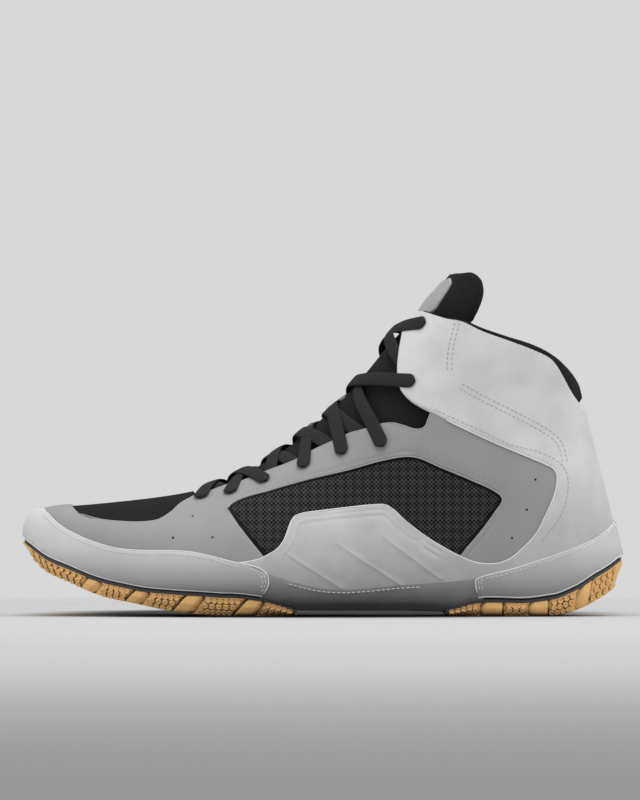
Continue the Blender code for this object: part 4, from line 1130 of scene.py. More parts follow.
ARCH_TOP = [
    (262, 571), (268, 573), (289, 579.5), (308.6, 584.6), (322, 587.3), (341, 588.6), (366.7, 587.3),
    (398.6, 584.1), (420, 582.9), (473, 578), (480, 576.5),
]
DIAGONALS = [[(286, 552), (341, 587)], [(337, 543), (398.6, 583)], [(383.5, 536.5), (438.8, 578)]]
SADDLE_LINE_RANGE = (3, 17)
CUFF_SEAM = [(459.5, 323), (452.4, 354), (451.5, 375)]
CUFF_SWEEP = [
    (460.5, 384), (480, 395.3), (514.4, 413), (546.6, 431), (558, 441), (562.7, 452.7), (565, 466),
]
QUARTER_SEAM = [
    (432, 409.4), (480, 431), (508, 445), (537.4, 452.7), (553.5, 460.7), (560.4, 466.5), (565, 476.8),
    (564.5, 496.5), (558, 515.7), (537.8, 542.4),
]
PINHOLES = [(193.5, 515.3), (174.1, 536.7), (213.3, 536.3), (534.2, 479.3), (525.5, 509), (510.8, 537.2)]
TONGUE_TOP = [
    (417, 317), (432, 290), (449, 270.5), (460, 268.5), (470, 267.5), (476.5, 272), (479, 279), (478, 289),
    (473.5, 301), (466, 312), (460, 328),
]
TONGUE_REAR = [
    (460, 328), (452, 350), (440, 392), (434, 430), (424, 470), (392, 487), (345, 494), (290, 503), (245, 510),
    (212, 512), (200, 508), (192, 500),
]
LABEL_REAR = [
    (416, 315), (431, 308.5), (439, 299.5), (446, 289), (449.5, 281.5), (448.5, 277.5), (444, 279.5),
]
LATERAL_EYELETS = [
    (201, 498), (230.5, 493), (265, 481), (304, 466.5), (343, 452.5), (382.5, 444), (412.5, 381.5), (424, 324),
]
MEDIAL_EYELETS = [
    (203, 497), (232, 489), (266, 474), (302, 453), (333, 428), (357, 411), (394, 379), (421, 330),
]
LATERAL_ON_TOP = [
    (True, False), (True, True), (False, False), (True, False), (True, False), (True, True), (False, True),
]


# ---- Pieces ----


@dataclass
class Piping:
    """Thin cut edges along the overlays, joined into one mesh; lighter than the overlays, partly their own tone and
    partly a painted highlight.
    """

    name: str
    finish: Finish
    radius: float = 0.3 * MM
    sides: int = 6

    def __post_init__(self) -> None:
        """Starts the mesh."""
        self.bm = bmesh.new()

    def run(self, spots: np.ndarray, lift: float) -> None:
        """Adds one edge along spots of the last, at a lift."""
        points = LAST.place(spots[:, 0], spots[:, 1], lift)
        normals = LAST.normals(spots[:, 0], spots[:, 1])
        ahead = np.gradient(points, axis=0)
        ahead /= np.linalg.norm(ahead, axis=1, keepdims=True) + 1e-12
        across = np.cross(normals, ahead)
        turns = np.arange(self.sides) / self.sides * 2 * math.pi
        ring = across[:, None] * np.cos(turns)[None, :, None] + normals[:, None] * np.sin(turns)[None, :, None]
        Loft.fill(self.bm, points[:, None] + ring * self.radius, True, True)

    def build(self) -> bpy.types.Object:
        """Builds the edges."""
        bmesh.ops.recalc_face_normals(self.bm, faces=self.bm.faces)
        draw_coordinates(self.bm, (0, 2))
        return finish_object(self.bm, self.name, self.finish, ())


@dataclass
class Loft:
    """A mesh made of rows of points."""

    name: str
    finish: Finish
    slot: str
    nodes: Sequence[str] = ()
    axes: tuple[int, int] = (0, 2)

    def build(self, rows: np.ndarray, round_rows: bool = False, capped: bool = False, out: bool = True) -> bpy.types.Object:
        """Builds a mesh of quads over a grid of points.

        Args:
            rows: the points, rows by columns.
            round_rows: whether each row's end joins its start.
            capped: whether the first and last rows are closed.
            out: whether the faces are turned outward.

        Returns:
            The object.
        """
        bm = bmesh.new()
        self.fill(bm, rows, round_rows, capped)
        bmesh.ops.remove_doubles(bm, verts=bm.verts, dist=1e-6)
        if out:
            bmesh.ops.recalc_face_normals(bm, faces=bm.faces)
        draw_coordinates(bm, self.axes)
        return finish_object(bm, self.name, self.finish, self.nodes)

    @staticmethod
    def fill(bm: bmesh.types.BMesh, rows: np.ndarray, round_rows: bool = False, capped: bool = False) -> None:
        """Adds a grid's quads to a mesh."""
        verts = [[bm.verts.new(point) for point in row] for row in rows]
        count = len(verts[0])
        for first, second in zip(verts, verts[1:]):
            for k in range(count if round_rows else count - 1):
                m = (k + 1) % count
                bm.faces.new((first[k], first[m], second[m], second[k]))
        if capped:
            bm.faces.new(verts[0][::-1])
            bm.faces.new(verts[-1])


def joined(*lines: np.ndarray) -> np.ndarray:
    """Lines put end to end, without repeated spots."""
    spots = np.concatenate(lines)
    keep = np.ones(len(spots), bool)
    keep[1:] = np.abs(np.diff(spots, axis=0)).sum(1) > 1e-4
    if np.abs(spots[0] - spots[-1]).sum() <= 1e-4:
        keep[-1] = False
    return spots[keep]


def straight(start: tuple[float, float], end: tuple[float, float], count: int) -> np.ndarray:
    """Evenly spread spots between two."""
    return np.stack([np.linspace(start[k], end[k], count) for k in range(2)], axis=1)


@dataclass
class Upper:
    """The layers of the upper: cloth body, overlays, rands, waist and collar."""

    drawing: Drawing
    body_lift: float = 0.0
    wall: float = 2.2 * MM
    panel: float = 1.0 * MM
    frame: float = 1.75 * MM
    rand: float = 2.5 * MM
    waist: float = 2.05 * MM
    knit: float = 0.35 * MM
    edge_roll: float = 0.5 * MM
    pressed: float = 0.28 * MM

    def line(self, points: Points, wrap: Wrap, side: int = -1) -> np.ndarray:
        """A line of the side view as spots."""
        return self.drawing.spots(points, wrap, side)

    def profile(self, lift: float, roll: float) -> list[tuple[float, float]]:
        """The rise of a rolled edge up to a layer's lift."""
        return [(0.0, lift - roll), (0.22 * MM, lift - roll * 0.35), (0.55 * MM, lift - roll * 0.02), (1.1 * MM, lift)]

    def build_body(self) -> None:
        """Builds the cloth body and the fabric inside it."""
        lateral = joined(self.line(LATERAL_THROAT, Wrap.OVER), self.line(CUFF_FRONT, Wrap.OVER))
        lateral = joined(lateral, self.line(COLLAR_TOP, Wrap.OVER))
        medial = joined(self.line(MEDIAL_THROAT, Wrap.OVER, 1), self.line(COLLAR_TOP, Wrap.OVER, 1))
        top = lateral[-1][1]
        outline = joined(
            lateral, straight((math.pi, top), (math.pi, 0), 60), straight((math.pi, 0), (0, 0), 300),
            straight((0, 0), (0, 4), 60), straight((0, 4), (math.pi, 4), 300),
            straight((math.pi, 4), (math.pi, 4 - top), 60), medial[::-1],
        )
        Patch("mesh_body", VAMP_MESH, outline, self.profile(self.body_lift, 0.3 * MM), -self.wall, ("upper",),
              "mesh", axes=(0, 1)).build()
        Patch("inner_fabric", LINING, outline, [(0.0, -self.wall)], -self.wall * 0.7, (), "mesh").build()

    def windows(self, side: int, under: Points = WINDOW_UNDER) -> np.ndarray:
        """The window's outline on one side."""
        return joined(self.line(WINDOW_EDGE, Wrap.OVER, side), self.line(under, Wrap.OVER, side))

    def build_vamp(self) -> None:
        """Builds the grey panel with its windows, and the knit behind them."""
        lateral = joined(
            self.line(VAMP_EDGE, Wrap.OVER), self.line(LATERAL_THROAT, Wrap.OVER), self.line([(430, 412.4), (442, 408), (470, 420)], Wrap.OVER),
        )
        medial_cuff = [(417, 311.7), (424, 312), (430, 330)]
        medial = joined(self.line(VAMP_EDGE, Wrap.OVER, 1), self.line(MEDIAL_THROAT, Wrap.OVER, 1),
                        self.line(medial_cuff, Wrap.OVER, 1))
        rear_top = self.line([(470, 420), (520, 442), (560, 458), (585, 470)], Wrap.OVER)
        medial_rear = self.line([(430, 330), (450, 380), (480, 415), (520, 442), (560, 458), (585, 470)], Wrap.OVER, 1)
        end = rear_top[-1]
        outline = joined(
            lateral, rear_top, straight(tuple(end), (end[0], 0.0), 30), straight((end[0], 0), (0, 0), 260),
            straight((0, 0), (0, 1.9), 30), straight((0, 2.1), (0, 4), 30), straight((0, 4), (end[0], 4), 260),
            straight((end[0], 4), tuple(medial_rear[-1]), 30), medial_rear[::-1], medial[::-1],
        )
        holes = [self.windows(-1), self.windows(1)]
        grooves = [Groove(self.window_line(side), 0.7 * MM, self.pressed) for side in (-1, 1)]
        Patch("grey_vamp", GREY_NUBUCK, outline, self.profile(self.panel, self.edge_roll), -0.2 * MM,
              ("vamp_panel",), "grey", grooves, holes=holes).build()
        for side, name in ((-1, "side_knit_lateral"), (1, "side_knit_medial")):
            spots = off_line(self.windows(side), 0.0016 * side, True)
            Patch(name, SIDE_KNIT, spots, [(0.0, self.knit), (1.0 * MM, self.knit)], -0.2 * MM, (), "mesh").build()

    def window_line(self, side: int) -> np.ndarray:
        """The pressed line round a window."""
        spots = self.line(WINDOW_EDGE, Wrap.OVER, side)
        return off_line(spots, 2.4 * MM * (-side), False)

    def build_quarter(self) -> None:
        """Builds the white saddle, quarter and cuff, in one piece round the heel."""
        sides = []
        for side in (-1, 1):
            up = self.line(SADDLE_TOP, Wrap.HEEL, side)
            cuff = self.line(CUFF_FRONT, Wrap.HEEL, side)
            collar = self.line(COLLAR_TOP, Wrap.HEEL, side)
            foot = (float(up[0][0]), 0.0)
            sides.append(joined(straight(foot, tuple(up[0]), 12), up, cuff, collar))
        outline = joined(sides[0], sides[1][::-1], straight(tuple(sides[1][0]), tuple(sides[0][0]), 420))
        grooves = []
        first, last = SADDLE_LINE_RANGE
        for side in (-1, 1):
            saddle = self.line(SADDLE_TOP[first:last], Wrap.HEEL, side)
            for distance in (2.4 * MM, 5.3 * MM):
                grooves.append(Groove(off_line(saddle, distance * side, False), 0.75 * MM, self.pressed))
            for diagonal in DIAGONALS:
                grooves.append(Groove(self.line(diagonal, Wrap.HEEL, side), 0.8 * MM, -0.3 * MM))
        Patch("white_quarter", WHITE_SUEDE, outline, self.profile(self.frame, 0.65 * MM), 0.3 * MM,
              ("quarter_frame",), "white", grooves).build()

    def build_rands(self) -> None:
        """Builds the toe and heel rands."""
        lateral = joined(self.line(TOE_TOP, Wrap.TOE), self.line(TOE_END, Wrap.TOE))
        medial = joined(self.line(TOE_TOP, Wrap.TOE, 1), self.line(TOE_END, Wrap.TOE, 1))
        outline = joined(lateral, straight((lateral[-1][0], 0), (medial[-1][0], 0), 320), medial[::-1])
        Patch("toe_guard", WHITE_LEATHER, outline, self.profile(self.rand, 0.6 * MM), 0.5 * MM, ("toe_rand",),
              "white").build()
        lateral = joined(self.line(HEEL_TOP, Wrap.HEEL), self.line(HEEL_END, Wrap.HEEL))
        medial = joined(self.line(HEEL_TOP, Wrap.HEEL, 1), self.line(HEEL_END, Wrap.HEEL, 1))
        outline = joined(lateral, straight((lateral[-1][0], 0), (medial[-1][0], 0), 300), medial[::-1])
        Patch("heel_guard", WHITE_LEATHER, outline, self.profile(self.rand + 0.1 * MM, 0.6 * MM), 0.8 * MM,
              ("heel_rand",), "white").build()

    def build_waist(self) -> None:
        """Builds the suede band that wraps the waist under the arch."""
        lateral = self.line(ARCH_TOP, Wrap.OVER)
        rows = []
        for angle, turn in lateral:
            up = np.linspace(1, 0, 12)
            lifts = np.interp(up, [0, 0.93, 1.0], [self.waist, self.waist + 0.15 * MM, self.waist - 0.2 * MM])
            near = LAST.place(np.full(12, angle), turn * up, lifts)
            far = LAST.place(np.full(12, angle), 4 - turn * up[::-1], lifts[::-1])
            x = near[-1][0]
            below = float(LAST.feather(np.array(x))) - self.waist
            across = np.linspace(0, 1, 22)[1:-1]
            y = near[-1][1] + (far[0][1] - near[-1][1]) * across
            sink = 1.2 * MM * np.clip(np.sin(across * math.pi) * 4, 0, 1) ** 0.5
            under = np.stack([np.full(20, x), y, below - sink], axis=1)
            rows.append(np.concatenate([near, under, far]))
        Loft("waist_suede", WAIST_SUEDE, "arch", ("arch_band",)).build(np.array(rows))

    def build_collar(self) -> None:
        """Builds the padded roll of the collar's lining."""
        rim = self.line(COLLAR_TOP[1:], Wrap.HEEL)
        top = self.line(LINING_TOP[1:], Wrap.HEEL)
        share = np.linspace(0, 1, 90)
        rim = np.stack([np.interp(share, np.linspace(0, 1, len(rim)), rim[:, k]) for k in range(2)], axis=1)
        top = np.stack([np.interp(share, np.linspace(0, 1, len(top)), top[:, k]) for k in range(2)], axis=1)
        section = (
            (-0.06, 0, -0.2), (0.0, 0, 0.9), (0.45, 0, 1.9), (0.8, 0, 1.7), (1.0, 0, 0.6), (1.06, 0, -1.2),
            (0.9, 0, -4.0), (0.5, 0, -5.4), (0.0, 0, -6.2), (0.0, -0.10, -6.6), (0.0, -0.25, -6.4),
            (0.0, -0.42, -5.6), (0.0, -0.5, -4.6), (0.0, -0.5, -2.6),
        )
        rows = []
        for side in (-1, 1):
            for k in range(90) if side < 0 else range(88, -1, -1):
                low, high = rim[k], top[k]
                thick = 0.35 + 0.65 * min(1.0, share[k] / 0.25)
                mix = np.array([low + (high - low) * up + (0, down) for up, down, _ in section])
                lifts = np.array([max(lift, -2.4 + (lift + 2.4) * thick) * MM for _, _, lift in section])
                spots = mix if side < 0 else Wrap.HEEL.turned(mix)
                rows.append(LAST.place(spots[:, 0], spots[:, 1], lifts))
        Loft("collar_pad", LINING, "lining", ("collar_lining",)).build(np.array(rows))

    def build(self) -> None:
        """Builds every layer of the upper."""
        self.build_body()
        self.build_vamp()
        self.build_quarter()
        self.build_rands()
        self.build_waist()
        self.build_collar()


@dataclass
class Tongue:
    """The padded tongue and its plain label."""

    drawing: Drawing
    outer: float = -2.8 * MM
    thickness: float = 7.0 * MM
    label: float = 0.9 * MM

    def build(self) -> None:
        """Builds the tongue and the label."""
        front = [(192, 500), (194, 491)]
        near = joined(self.drawing.spots(TONGUE_TOP, Wrap.OVER), self.drawing.spots(TONGUE_REAR, Wrap.OVER),
                      self.drawing.spots(front, Wrap.OVER))
        far = Wrap.OVER.turned(near)
        outline = joined(near, far[::-1])
        outer = [(0.0, -3.5), (0.4, -1.8), (1.2, -0.8), (2.5, -0.2), (4.0, 0.0)]
        inner = [(0.0, -3.5), (0.4, -5.2), (1.2, -6.2), (2.5, -6.8), (4.0, -7.0)]
        for name, profile, finish, nodes in (
            ("tongue_pad", outer, TONGUE_MESH, ("tongue",)), ("tongue_lining", inner, LINING, ()),
        ):
            lifts = [(distance * MM, self.outer + lift * MM) for distance, lift in profile]
            Patch(name, finish, outline, lifts, lifts[0][1], nodes, "mesh", swell=self.swell).build()
        rear = self.drawing.spots(LABEL_REAR, Wrap.OVER)
        outline = joined(rear, Wrap.OVER.turned(rear)[::-1])
        lift = self.outer + self.label
        profile = [(0.0, lift - 0.4 * MM), (0.4 * MM, lift - 0.05 * MM), (0.9 * MM, lift)]
        Patch("tongue_label", LABEL, outline, profile, self.outer - 0.6 * MM, ("tongue_badge",), "badge",
              swell=self.swell).build()

    @staticmethod
    def swell(spots: np.ndarray) -> np.ndarray:
        """How much the tongue stands out: above the collar, at its front end and along its middle."""
        places = LAST.place(spots[:, 0], spots[:, 1], 0.0)
        above = np.clip((places[:, 2] - 0.140) / 0.012, 0, 1)
        front = np.clip((-0.040 - places[:, 0]) / 0.012, 0, 1)
        middle = np.clip(1 - ((spots[:, 1] - 2) / 0.4) ** 2, 0, 1)
        return np.maximum(2.6 * MM * above, 2.2 * MM * np.maximum(front, 0.7 * middle))


@dataclass
class Laces:
    """The flat laces: two bars at each crossing, run through the eyelets."""

    drawing: Drawing
    width: float = 7.0 * MM
    thickness: float = 1.25 * MM
    over: float = 1.3 * MM
    weave: float = 0.65 * MM
    sides: int = 12
    stations: int = 44

    def build(self) -> None:
        """Builds the seven crossings."""
        self.tree = self.form()
        near = self.drawing.find_all(self.metres(LATERAL_EYELETS))
        far = Wrap.OVER.turned(self.drawing.find_all(self.metres(MEDIAL_EYELETS)))
        for row, on_top in enumerate(LATERAL_ON_TOP):
            bm = bmesh.new()
            for bar, (first, second) in enumerate(((row, row + 1), (row + 1, row))):
                sign = 1.0 if bar == row % 2 else -1.0
                points, ahead = self.path(near[first], far[second], on_top[bar], second == row, sign, row)
                self.ribbon(bm, points, ahead)
            bmesh.ops.recalc_face_normals(bm, faces=bm.faces)
            draw_coordinates(bm, (0, 2))
            finish_object(bm, f"lace_{row + 1}", BLACK_BRAID, (f"lace_crossing_{row + 1}",))

    @staticmethod
    def form() -> BVHTree:
        """The last round the throat, to draw the laces taut over."""
        angles, turns = np.meshgrid(np.linspace(0.7, 2.6, 220), np.linspace(0.3, 3.7, 260), indexing="ij")
        points = LAST.place(angles, turns, 0.0).reshape(-1, 3)
        quads = [(a, a + 1, a + 261, a + 260) for row in range(219) for a in range(row * 260, row * 260 + 259)]
        return BVHTree.FromPolygons([tuple(point) for point in points], quads)

    @staticmethod
    def metres(points: Points) -> np.ndarray:
        """Drawing points in metres."""
        return np.array([((px - DRAWING_MIDDLE) * DRAWING_UNIT, (DRAWING_FLOOR - py) * DRAWING_UNIT) for px, py in points])

    def path(
        self, start: np.ndarray, end: np.ndarray, near_top: bool, far_top: bool, sign: float, row: int,
    ) -> tuple[np.ndarray, np.ndarray]:
        """One bar's middle line and outward directions.

        Args:
            start: the lateral eyelet's spot.
            end: the medial eyelet's spot.
            near_top: whether the lateral end shows on top of the eyestay.
            far_top: whether the medial end shows on top.
            sign: 1 where the bar passes over its partner.
            row: the crossing, from 0 at the toe.

        Returns:
            The points and the directions.
        """
        share = np.linspace(0, 1, self.stations)
        share = 0.4 * share + 0.6 * (1 - np.cos(share * math.pi)) / 2
        reach = share * 1.06 - 0.03
        ends = [LAST.place(spot[0], spot[1], 0.0) for spot in (start, end)]
        chord = [Vector(ends[0] + (ends[1] - ends[0]) * part) for part in reach]
        seats = np.array([tuple(self.tree.find_nearest(spot)[0]) for spot in chord])
        for _ in range(4):
            steps = np.linalg.norm(np.diff(seats, axis=0), axis=1)
            along = np.concatenate([[0.0], np.cumsum(steps)])
            even = np.linspace(0, along[-1], self.stations)
            seats = np.stack([self.smoothed(np.interp(even, along, seats[:, k])) for k in range(3)], axis=1)
        steps = np.linalg.norm(np.diff(seats, axis=0), axis=1)
        along = np.concatenate([[0.0], np.cumsum(steps)])
        seats = np.stack([np.interp(share * along[-1], along, seats[:, k]) for k in range(3)], axis=1)
        normals = np.array([tuple(self.tree.find_nearest(Vector(seat))[1]) for seat in seats])
        normals *= np.sign(normals[self.stations // 2, 2])
        normals = np.stack([self.smoothed(normals[:, k]) for k in range(3)], axis=1)
        normals /= np.linalg.norm(normals, axis=1, keepdims=True)
        high = self.over + (2.0 * MM if row == 6 else 0.0)
        stay = 2.5 * MM if row < 5 else 2.9 * MM
        ends = []
        for on_top in (near_top, far_top):
            ends.append([stay, stay, stay] if on_top else [-2.6 * MM, -2.4 * MM, -1.6 * MM])
        middle = high + self.weave * sign
        lifts = np.interp(
            share, [0, 0.07, 0.2, 0.5, 0.8, 0.93, 1],
            [ends[0][0], ends[0][1], (ends[0][2] + middle) / 2, middle, (ends[1][2] + middle) / 2, ends[1][1], ends[1][0]],
        )
        return seats + normals * self.smoothed(lifts)[:, None], normals

    @staticmethod
    def smoothed(values: np.ndarray) -> np.ndarray:
        """Values evened out along a lace, with both ends kept."""
        kernel = np.ones(7) / 7
        return np.convolve(np.pad(values, 3, mode="reflect", reflect_type="odd"), kernel, mode="valid")

    def ribbon(self, bm: bmesh.types.BMesh, points: np.ndarray, normals: np.ndarray) -> None:
        """Adds one flat lace with rounded ends."""
        ahead = np.gradient(points, axis=0)
        ahead /= np.linalg.norm(ahead, axis=1, keepdims=True)
        across = np.cross(normals, ahead)
        across /= np.linalg.norm(across, axis=1, keepdims=True)
        up = np.cross(ahead, across)
        along = np.concatenate([[0], np.cumsum(np.linalg.norm(np.diff(points, axis=0), axis=1))])
        from_end = np.minimum(along, along[-1] - along)
        narrow = np.sqrt(np.clip(1 - (1 - np.clip(from_end / (3.4 * MM), 0, 1)) ** 2, 0.04, 1))
        turns = np.arange(self.sides) / self.sides * 2 * math.pi
        wide = np.sign(np.cos(turns)) * np.abs(np.cos(turns)) ** 0.6 * self.width / 2
        tall = np.sin(turns) * self.thickness / 2
        rows = points[:, None] + across[:, None] * wide[None, :, None] * narrow[:, None, None]
        rows = rows + up[:, None] * tall[None, :, None]
        Loft.fill(bm, rows, True, True)


@dataclass
class Zone:
    """One length of the sole: where it starts and ends, and its grooves."""

    name: str
    start: float
    end: float
    grooves: Sequence[tuple[float, float]]
    pods: Sequence[int]


@dataclass
class Sole:
    """The rubber under the forefoot and the heel, with its dark foam strip."""

    flare: float = 1.85 * MM
    lip: float = 1.2 * MM
    undercut: float = -1.6 * MM
    pod_depth: float = 1.4 * MM
    groove_depth: float = 2.0 * MM
    groove_width: float = 1.5 * MM
    nub_radius: float = 1.45 * MM
    nub_pitch: float = 3.15 * MM
    nub_sides: int = 12

    def pod_mask(self, zone: Zone, share: np.ndarray, level: np.ndarray) -> tuple[np.ndarray, np.ndarray]:
        """How far a point is in a pod, and how deep in a groove.

        Args:
            zone: the length of sole.
            share: the point's share of the length.
            level: its height in the rubber, from 0 to 1.

        Returns:
            Two arrays from 0 to 1.
        """
        groove = np.zeros_like(share)
        pod = np.zeros_like(share)
        limits = [(zone.start, zone.start), *zone.grooves, (zone.end, zone.end)]
        for top, bottom in zone.grooves:
            at = bottom + (top - bottom) * level
            away = np.abs(share - at) * LAST.length / (self.groove_width / 2)
            groove = np.maximum(groove, np.clip(1.25 - away, 0, 1) ** 0.7)
        for k in zone.pods:
            low = limits[k][1] + (limits[k][0] - limits[k][1]) * level
            high = limits[k + 1][1] + (limits[k + 1][0] - limits[k + 1][1]) * level
            edge = np.minimum(share - low, high - share) * LAST.length
            pod = np.maximum(pod, np.clip(edge / (0.5 * MM), 0, 1))
        pod = pod * np.clip((level - 0.04) / 0.06, 0, 1) * np.clip((0.95 - level) / 0.06, 0, 1)
        return pod, groove

    def wall(self, zone: Zone, angle: np.ndarray, level: np.ndarray, side: int) -> np.ndarray:
        """Points of the rubber's side wall.

        Args:
            zone: the length of sole.
            angle: angles along the shoe.
            level: heights in the rubber, from 0 to 1.
            side: -1 lateral, 1 medial.

        Returns:
            The points.
        """
        base = np.interp(level, [0, 0.12, 0.55, 0.9, 1.0], [self.undercut, -0.2 * MM, self.flare, self.flare, self.lip])
        x, middle, half = LAST.plan(angle, base)
        pod, groove = self.pod_mask(zone, x / LAST.length + 0.5, level)
        grow = base - pod * self.pod_depth - groove * self.groove_depth
        x, middle, half = LAST.plan(angle, grow)
        low, high = LAST.ground(x), LAST.rubber_top(x)
        return np.stack([x, middle + side * half, low + (high - low) * level], axis=-1)

    def build_zone(self, zone: Zone, heel: bool) -> None:
        """Builds one length of rubber, with its nubs, and its foam strip."""
        low = math.acos(1 - 2 * min(max(zone.start, 0.0), 1.0))
        high = math.acos(1 - 2 * min(max(zone.end, 0.0), 1.0))
        angles = [low]
        while angles[-1] < high:
            angles.append(angles[-1] + min(0.02, 0.5 * MM / (LAST.length / 2 * max(0.02, math.sin(angles[-1])))))
        angles = np.array(angles[:-1] + [high])
        levels = np.concatenate([[1.0], np.linspace(0.985, 0.015, 15), [0.0]])
        rows = []
        for angle in angles:
            near = self.wall(zone, np.full(17, angle), levels, -1)
            far = self.wall(zone, np.full(17, angle), levels[::-1], 1)
            share = np.linspace(0, 1, 26)[1:-1]
            x = near[-1][0]
            y = near[-1][1] + (far[0][1] - near[-1][1]) * share
            _, groove = self.pod_mask(zone, np.full(24, x / LAST.length + 0.5), np.zeros(24))
            under = np.stack([np.full(24, x), y, near[-1][2] + groove * 1.0 * MM], axis=1)
            rows.append(np.concatenate([near, under, far]))
        name = "heel" if heel else "front"
        node = "heel" if heel else "forefoot"
        bm = bmesh.new()
        Loft.fill(bm, np.array(rows), True, True)
        for side in (-1, 1):
            self.add_nubs(bm, zone, side)
        bmesh.ops.remove_doubles(bm, verts=bm.verts, dist=1e-6)
        bmesh.ops.recalc_face_normals(bm, faces=bm.faces)
        draw_coordinates(bm, (0, 2))
        finish_object(bm, f"rubber_{name}", GUM, (f"outsole_{node}",))
        rows = []
        for angle in angles[::2]:
            ring = []
            for side in (-1, 1):
                section = [(-0.05, -2.0), (-0.05, 0.9), (0.35, 1.3), (0.8, 1.3), (1.1, 0.7), (1.1, -2.0)]
                for up, grow in section if side < 0 else section[::-1]:
                    x, middle, half = LAST.plan(np.array(angle), grow * MM)
                    bottom = LAST.rubber_top(x)
                    top = min(LAST.feather(x), bottom + 1.5 * MM)
                    ring.append((float(x), float(middle + side * half), float(bottom + (top - bottom) * up)))
            rows.append(ring)
        Loft(f"foam_{name}", FOAM, "foam", (f"midsole_{node}",)).build(np.array(rows), True, True)

    def add_nubs(self, bm: bmesh.types.BMesh, zone: Zone, side: int) -> None:
        """Adds the round nubs in the pods of one side."""
        limits = [(zone.start, zone.start), *zone.grooves, (zone.end, zone.end)]
        for k in zone.pods:
            for row, level in enumerate((0.2, 0.5, 0.8)):
                low = limits[k][1] + (limits[k][0] - limits[k][1]) * level
                high = limits[k + 1][1] + (limits[k + 1][0] - limits[k + 1][1]) * level
                first = low * LAST.length + self.nub_radius * 1.25
                last = high * LAST.length - self.nub_radius * 1.25
                if last <= first:
                    continue
                count = max(1, int((last - first) / self.nub_pitch + (0.5 if row % 2 else 1.0)))
                for m in range(count):
                    at = first + (last - first) * ((m + 0.5) / count)
                    self.add_nub(bm, zone, at / LAST.length, level, side)

    def add_nub(self, bm: bmesh.types.BMesh, zone: Zone, share: float, level: float, side: int) -> None:
        """Adds one nub to the rubber's wall."""
        angle = math.acos(1 - 2 * min(max(share, 0.0), 1.0))
        step = 0.004
        here = self.wall(zone, np.array(angle), np.array(level), side)
        above = self.wall(zone, np.array(angle), np.array(level + 0.02), side)
        below = self.wall(zone, np.array(angle), np.array(level - 0.02), side)
        up = above - below
        up /= np.linalg.norm(up)
        ahead = LAST_plan_direction(angle, step, side)
        normal = np.cross(ahead, up)
        normal /= np.linalg.norm(normal)
        if normal[1] * side < 0:
            normal = -normal
        ahead = np.cross(up, normal)
        size = self.nub_radius
        shape = ((1.0, -0.5), (0.97, 0.45), (0.72, 0.62), (0.5, 0.42), (0.0, 0.3))
        rings = []
        for radius, height in shape:
            count = self.nub_sides if radius > 0 else 1
            ring = []
            for m in range(count):
                turn = 2 * math.pi * m / count
                offset = (ahead * math.cos(turn) + up * math.sin(turn)) * radius * size
                ring.append(bm.verts.new(here + offset + normal * height * size))
            rings.append(ring)
        for first, second in zip(rings, rings[1:]):
            for m in range(self.nub_sides):
                n = (m + 1) % self.nub_sides
                if len(second) == 1:
                    bm.faces.new((first[m], first[n], second[0]))
                else:
                    bm.faces.new((first[m], first[n], second[n], second[m]))

    def build(self) -> None:
        """Builds both lengths."""
        front = Zone("front", 0.0, 0.455, FOREFOOT_GROOVES, (0, 2, 4, 6, 8))
        heel = Zone("heel", 0.705, 1.0, HEEL_GROOVES, (0, 2, 4, 6))
        self.build_zone(front, False)
        self.build_zone(heel, True)


FOREFOOT_GROOVES = [
    (0.108, 0.095), (0.130, 0.115), (0.187, 0.168), (0.210, 0.193), (0.272, 0.247), (0.302, 0.280),
    (0.374, 0.348), (0.401, 0.385),
]
HEEL_GROOVES = [(0.768, 0.766), (0.802, 0.801), (0.848, 0.847), (0.877, 0.877), (0.930, 0.926), (0.951, 0.944)]


def LAST_plan_direction(angle: float, step: float, side: int) -> np.ndarray:
    """The direction along the sole's outline, level."""
    points = []
    for turn in (angle - step, angle + step):
        x, middle, half = LAST.plan(np.array(turn), 0.0)
        points.append(np.array([float(x), float(middle + side * half), 0.0]))
    ahead = points[1] - points[0]
    return ahead / (np.linalg.norm(ahead) + 1e-12)


@dataclass
class Footbed:
    """The footbed inside the shoe."""

    inset: float = 5.5 * MM
    thickness: float = 3.4 * MM

    def build(self) -> None:
        """Builds the footbed."""
        rows = []
        for angle in np.linspace(0.34, math.pi - 0.35, 90):
            x, middle, half = LAST.plan(np.array(angle), -self.inset)
            z = float(LAST.feather(x))
            top = z + self.thickness
            ring = []
            for share in np.linspace(-1, 1, 15):
                ring.append((float(x), float(middle + half * share), top + 1.5 * MM * abs(share) ** 4))
            ring.append((float(x), float(middle + half), z - 0.4 * MM))
            ring.append((float(x), float(middle - half), z - 0.4 * MM))
            rows.append(ring)
        Loft("footbed", LINING, "lining", ("insole",), (0, 1)).build(np.array(rows), True, True)


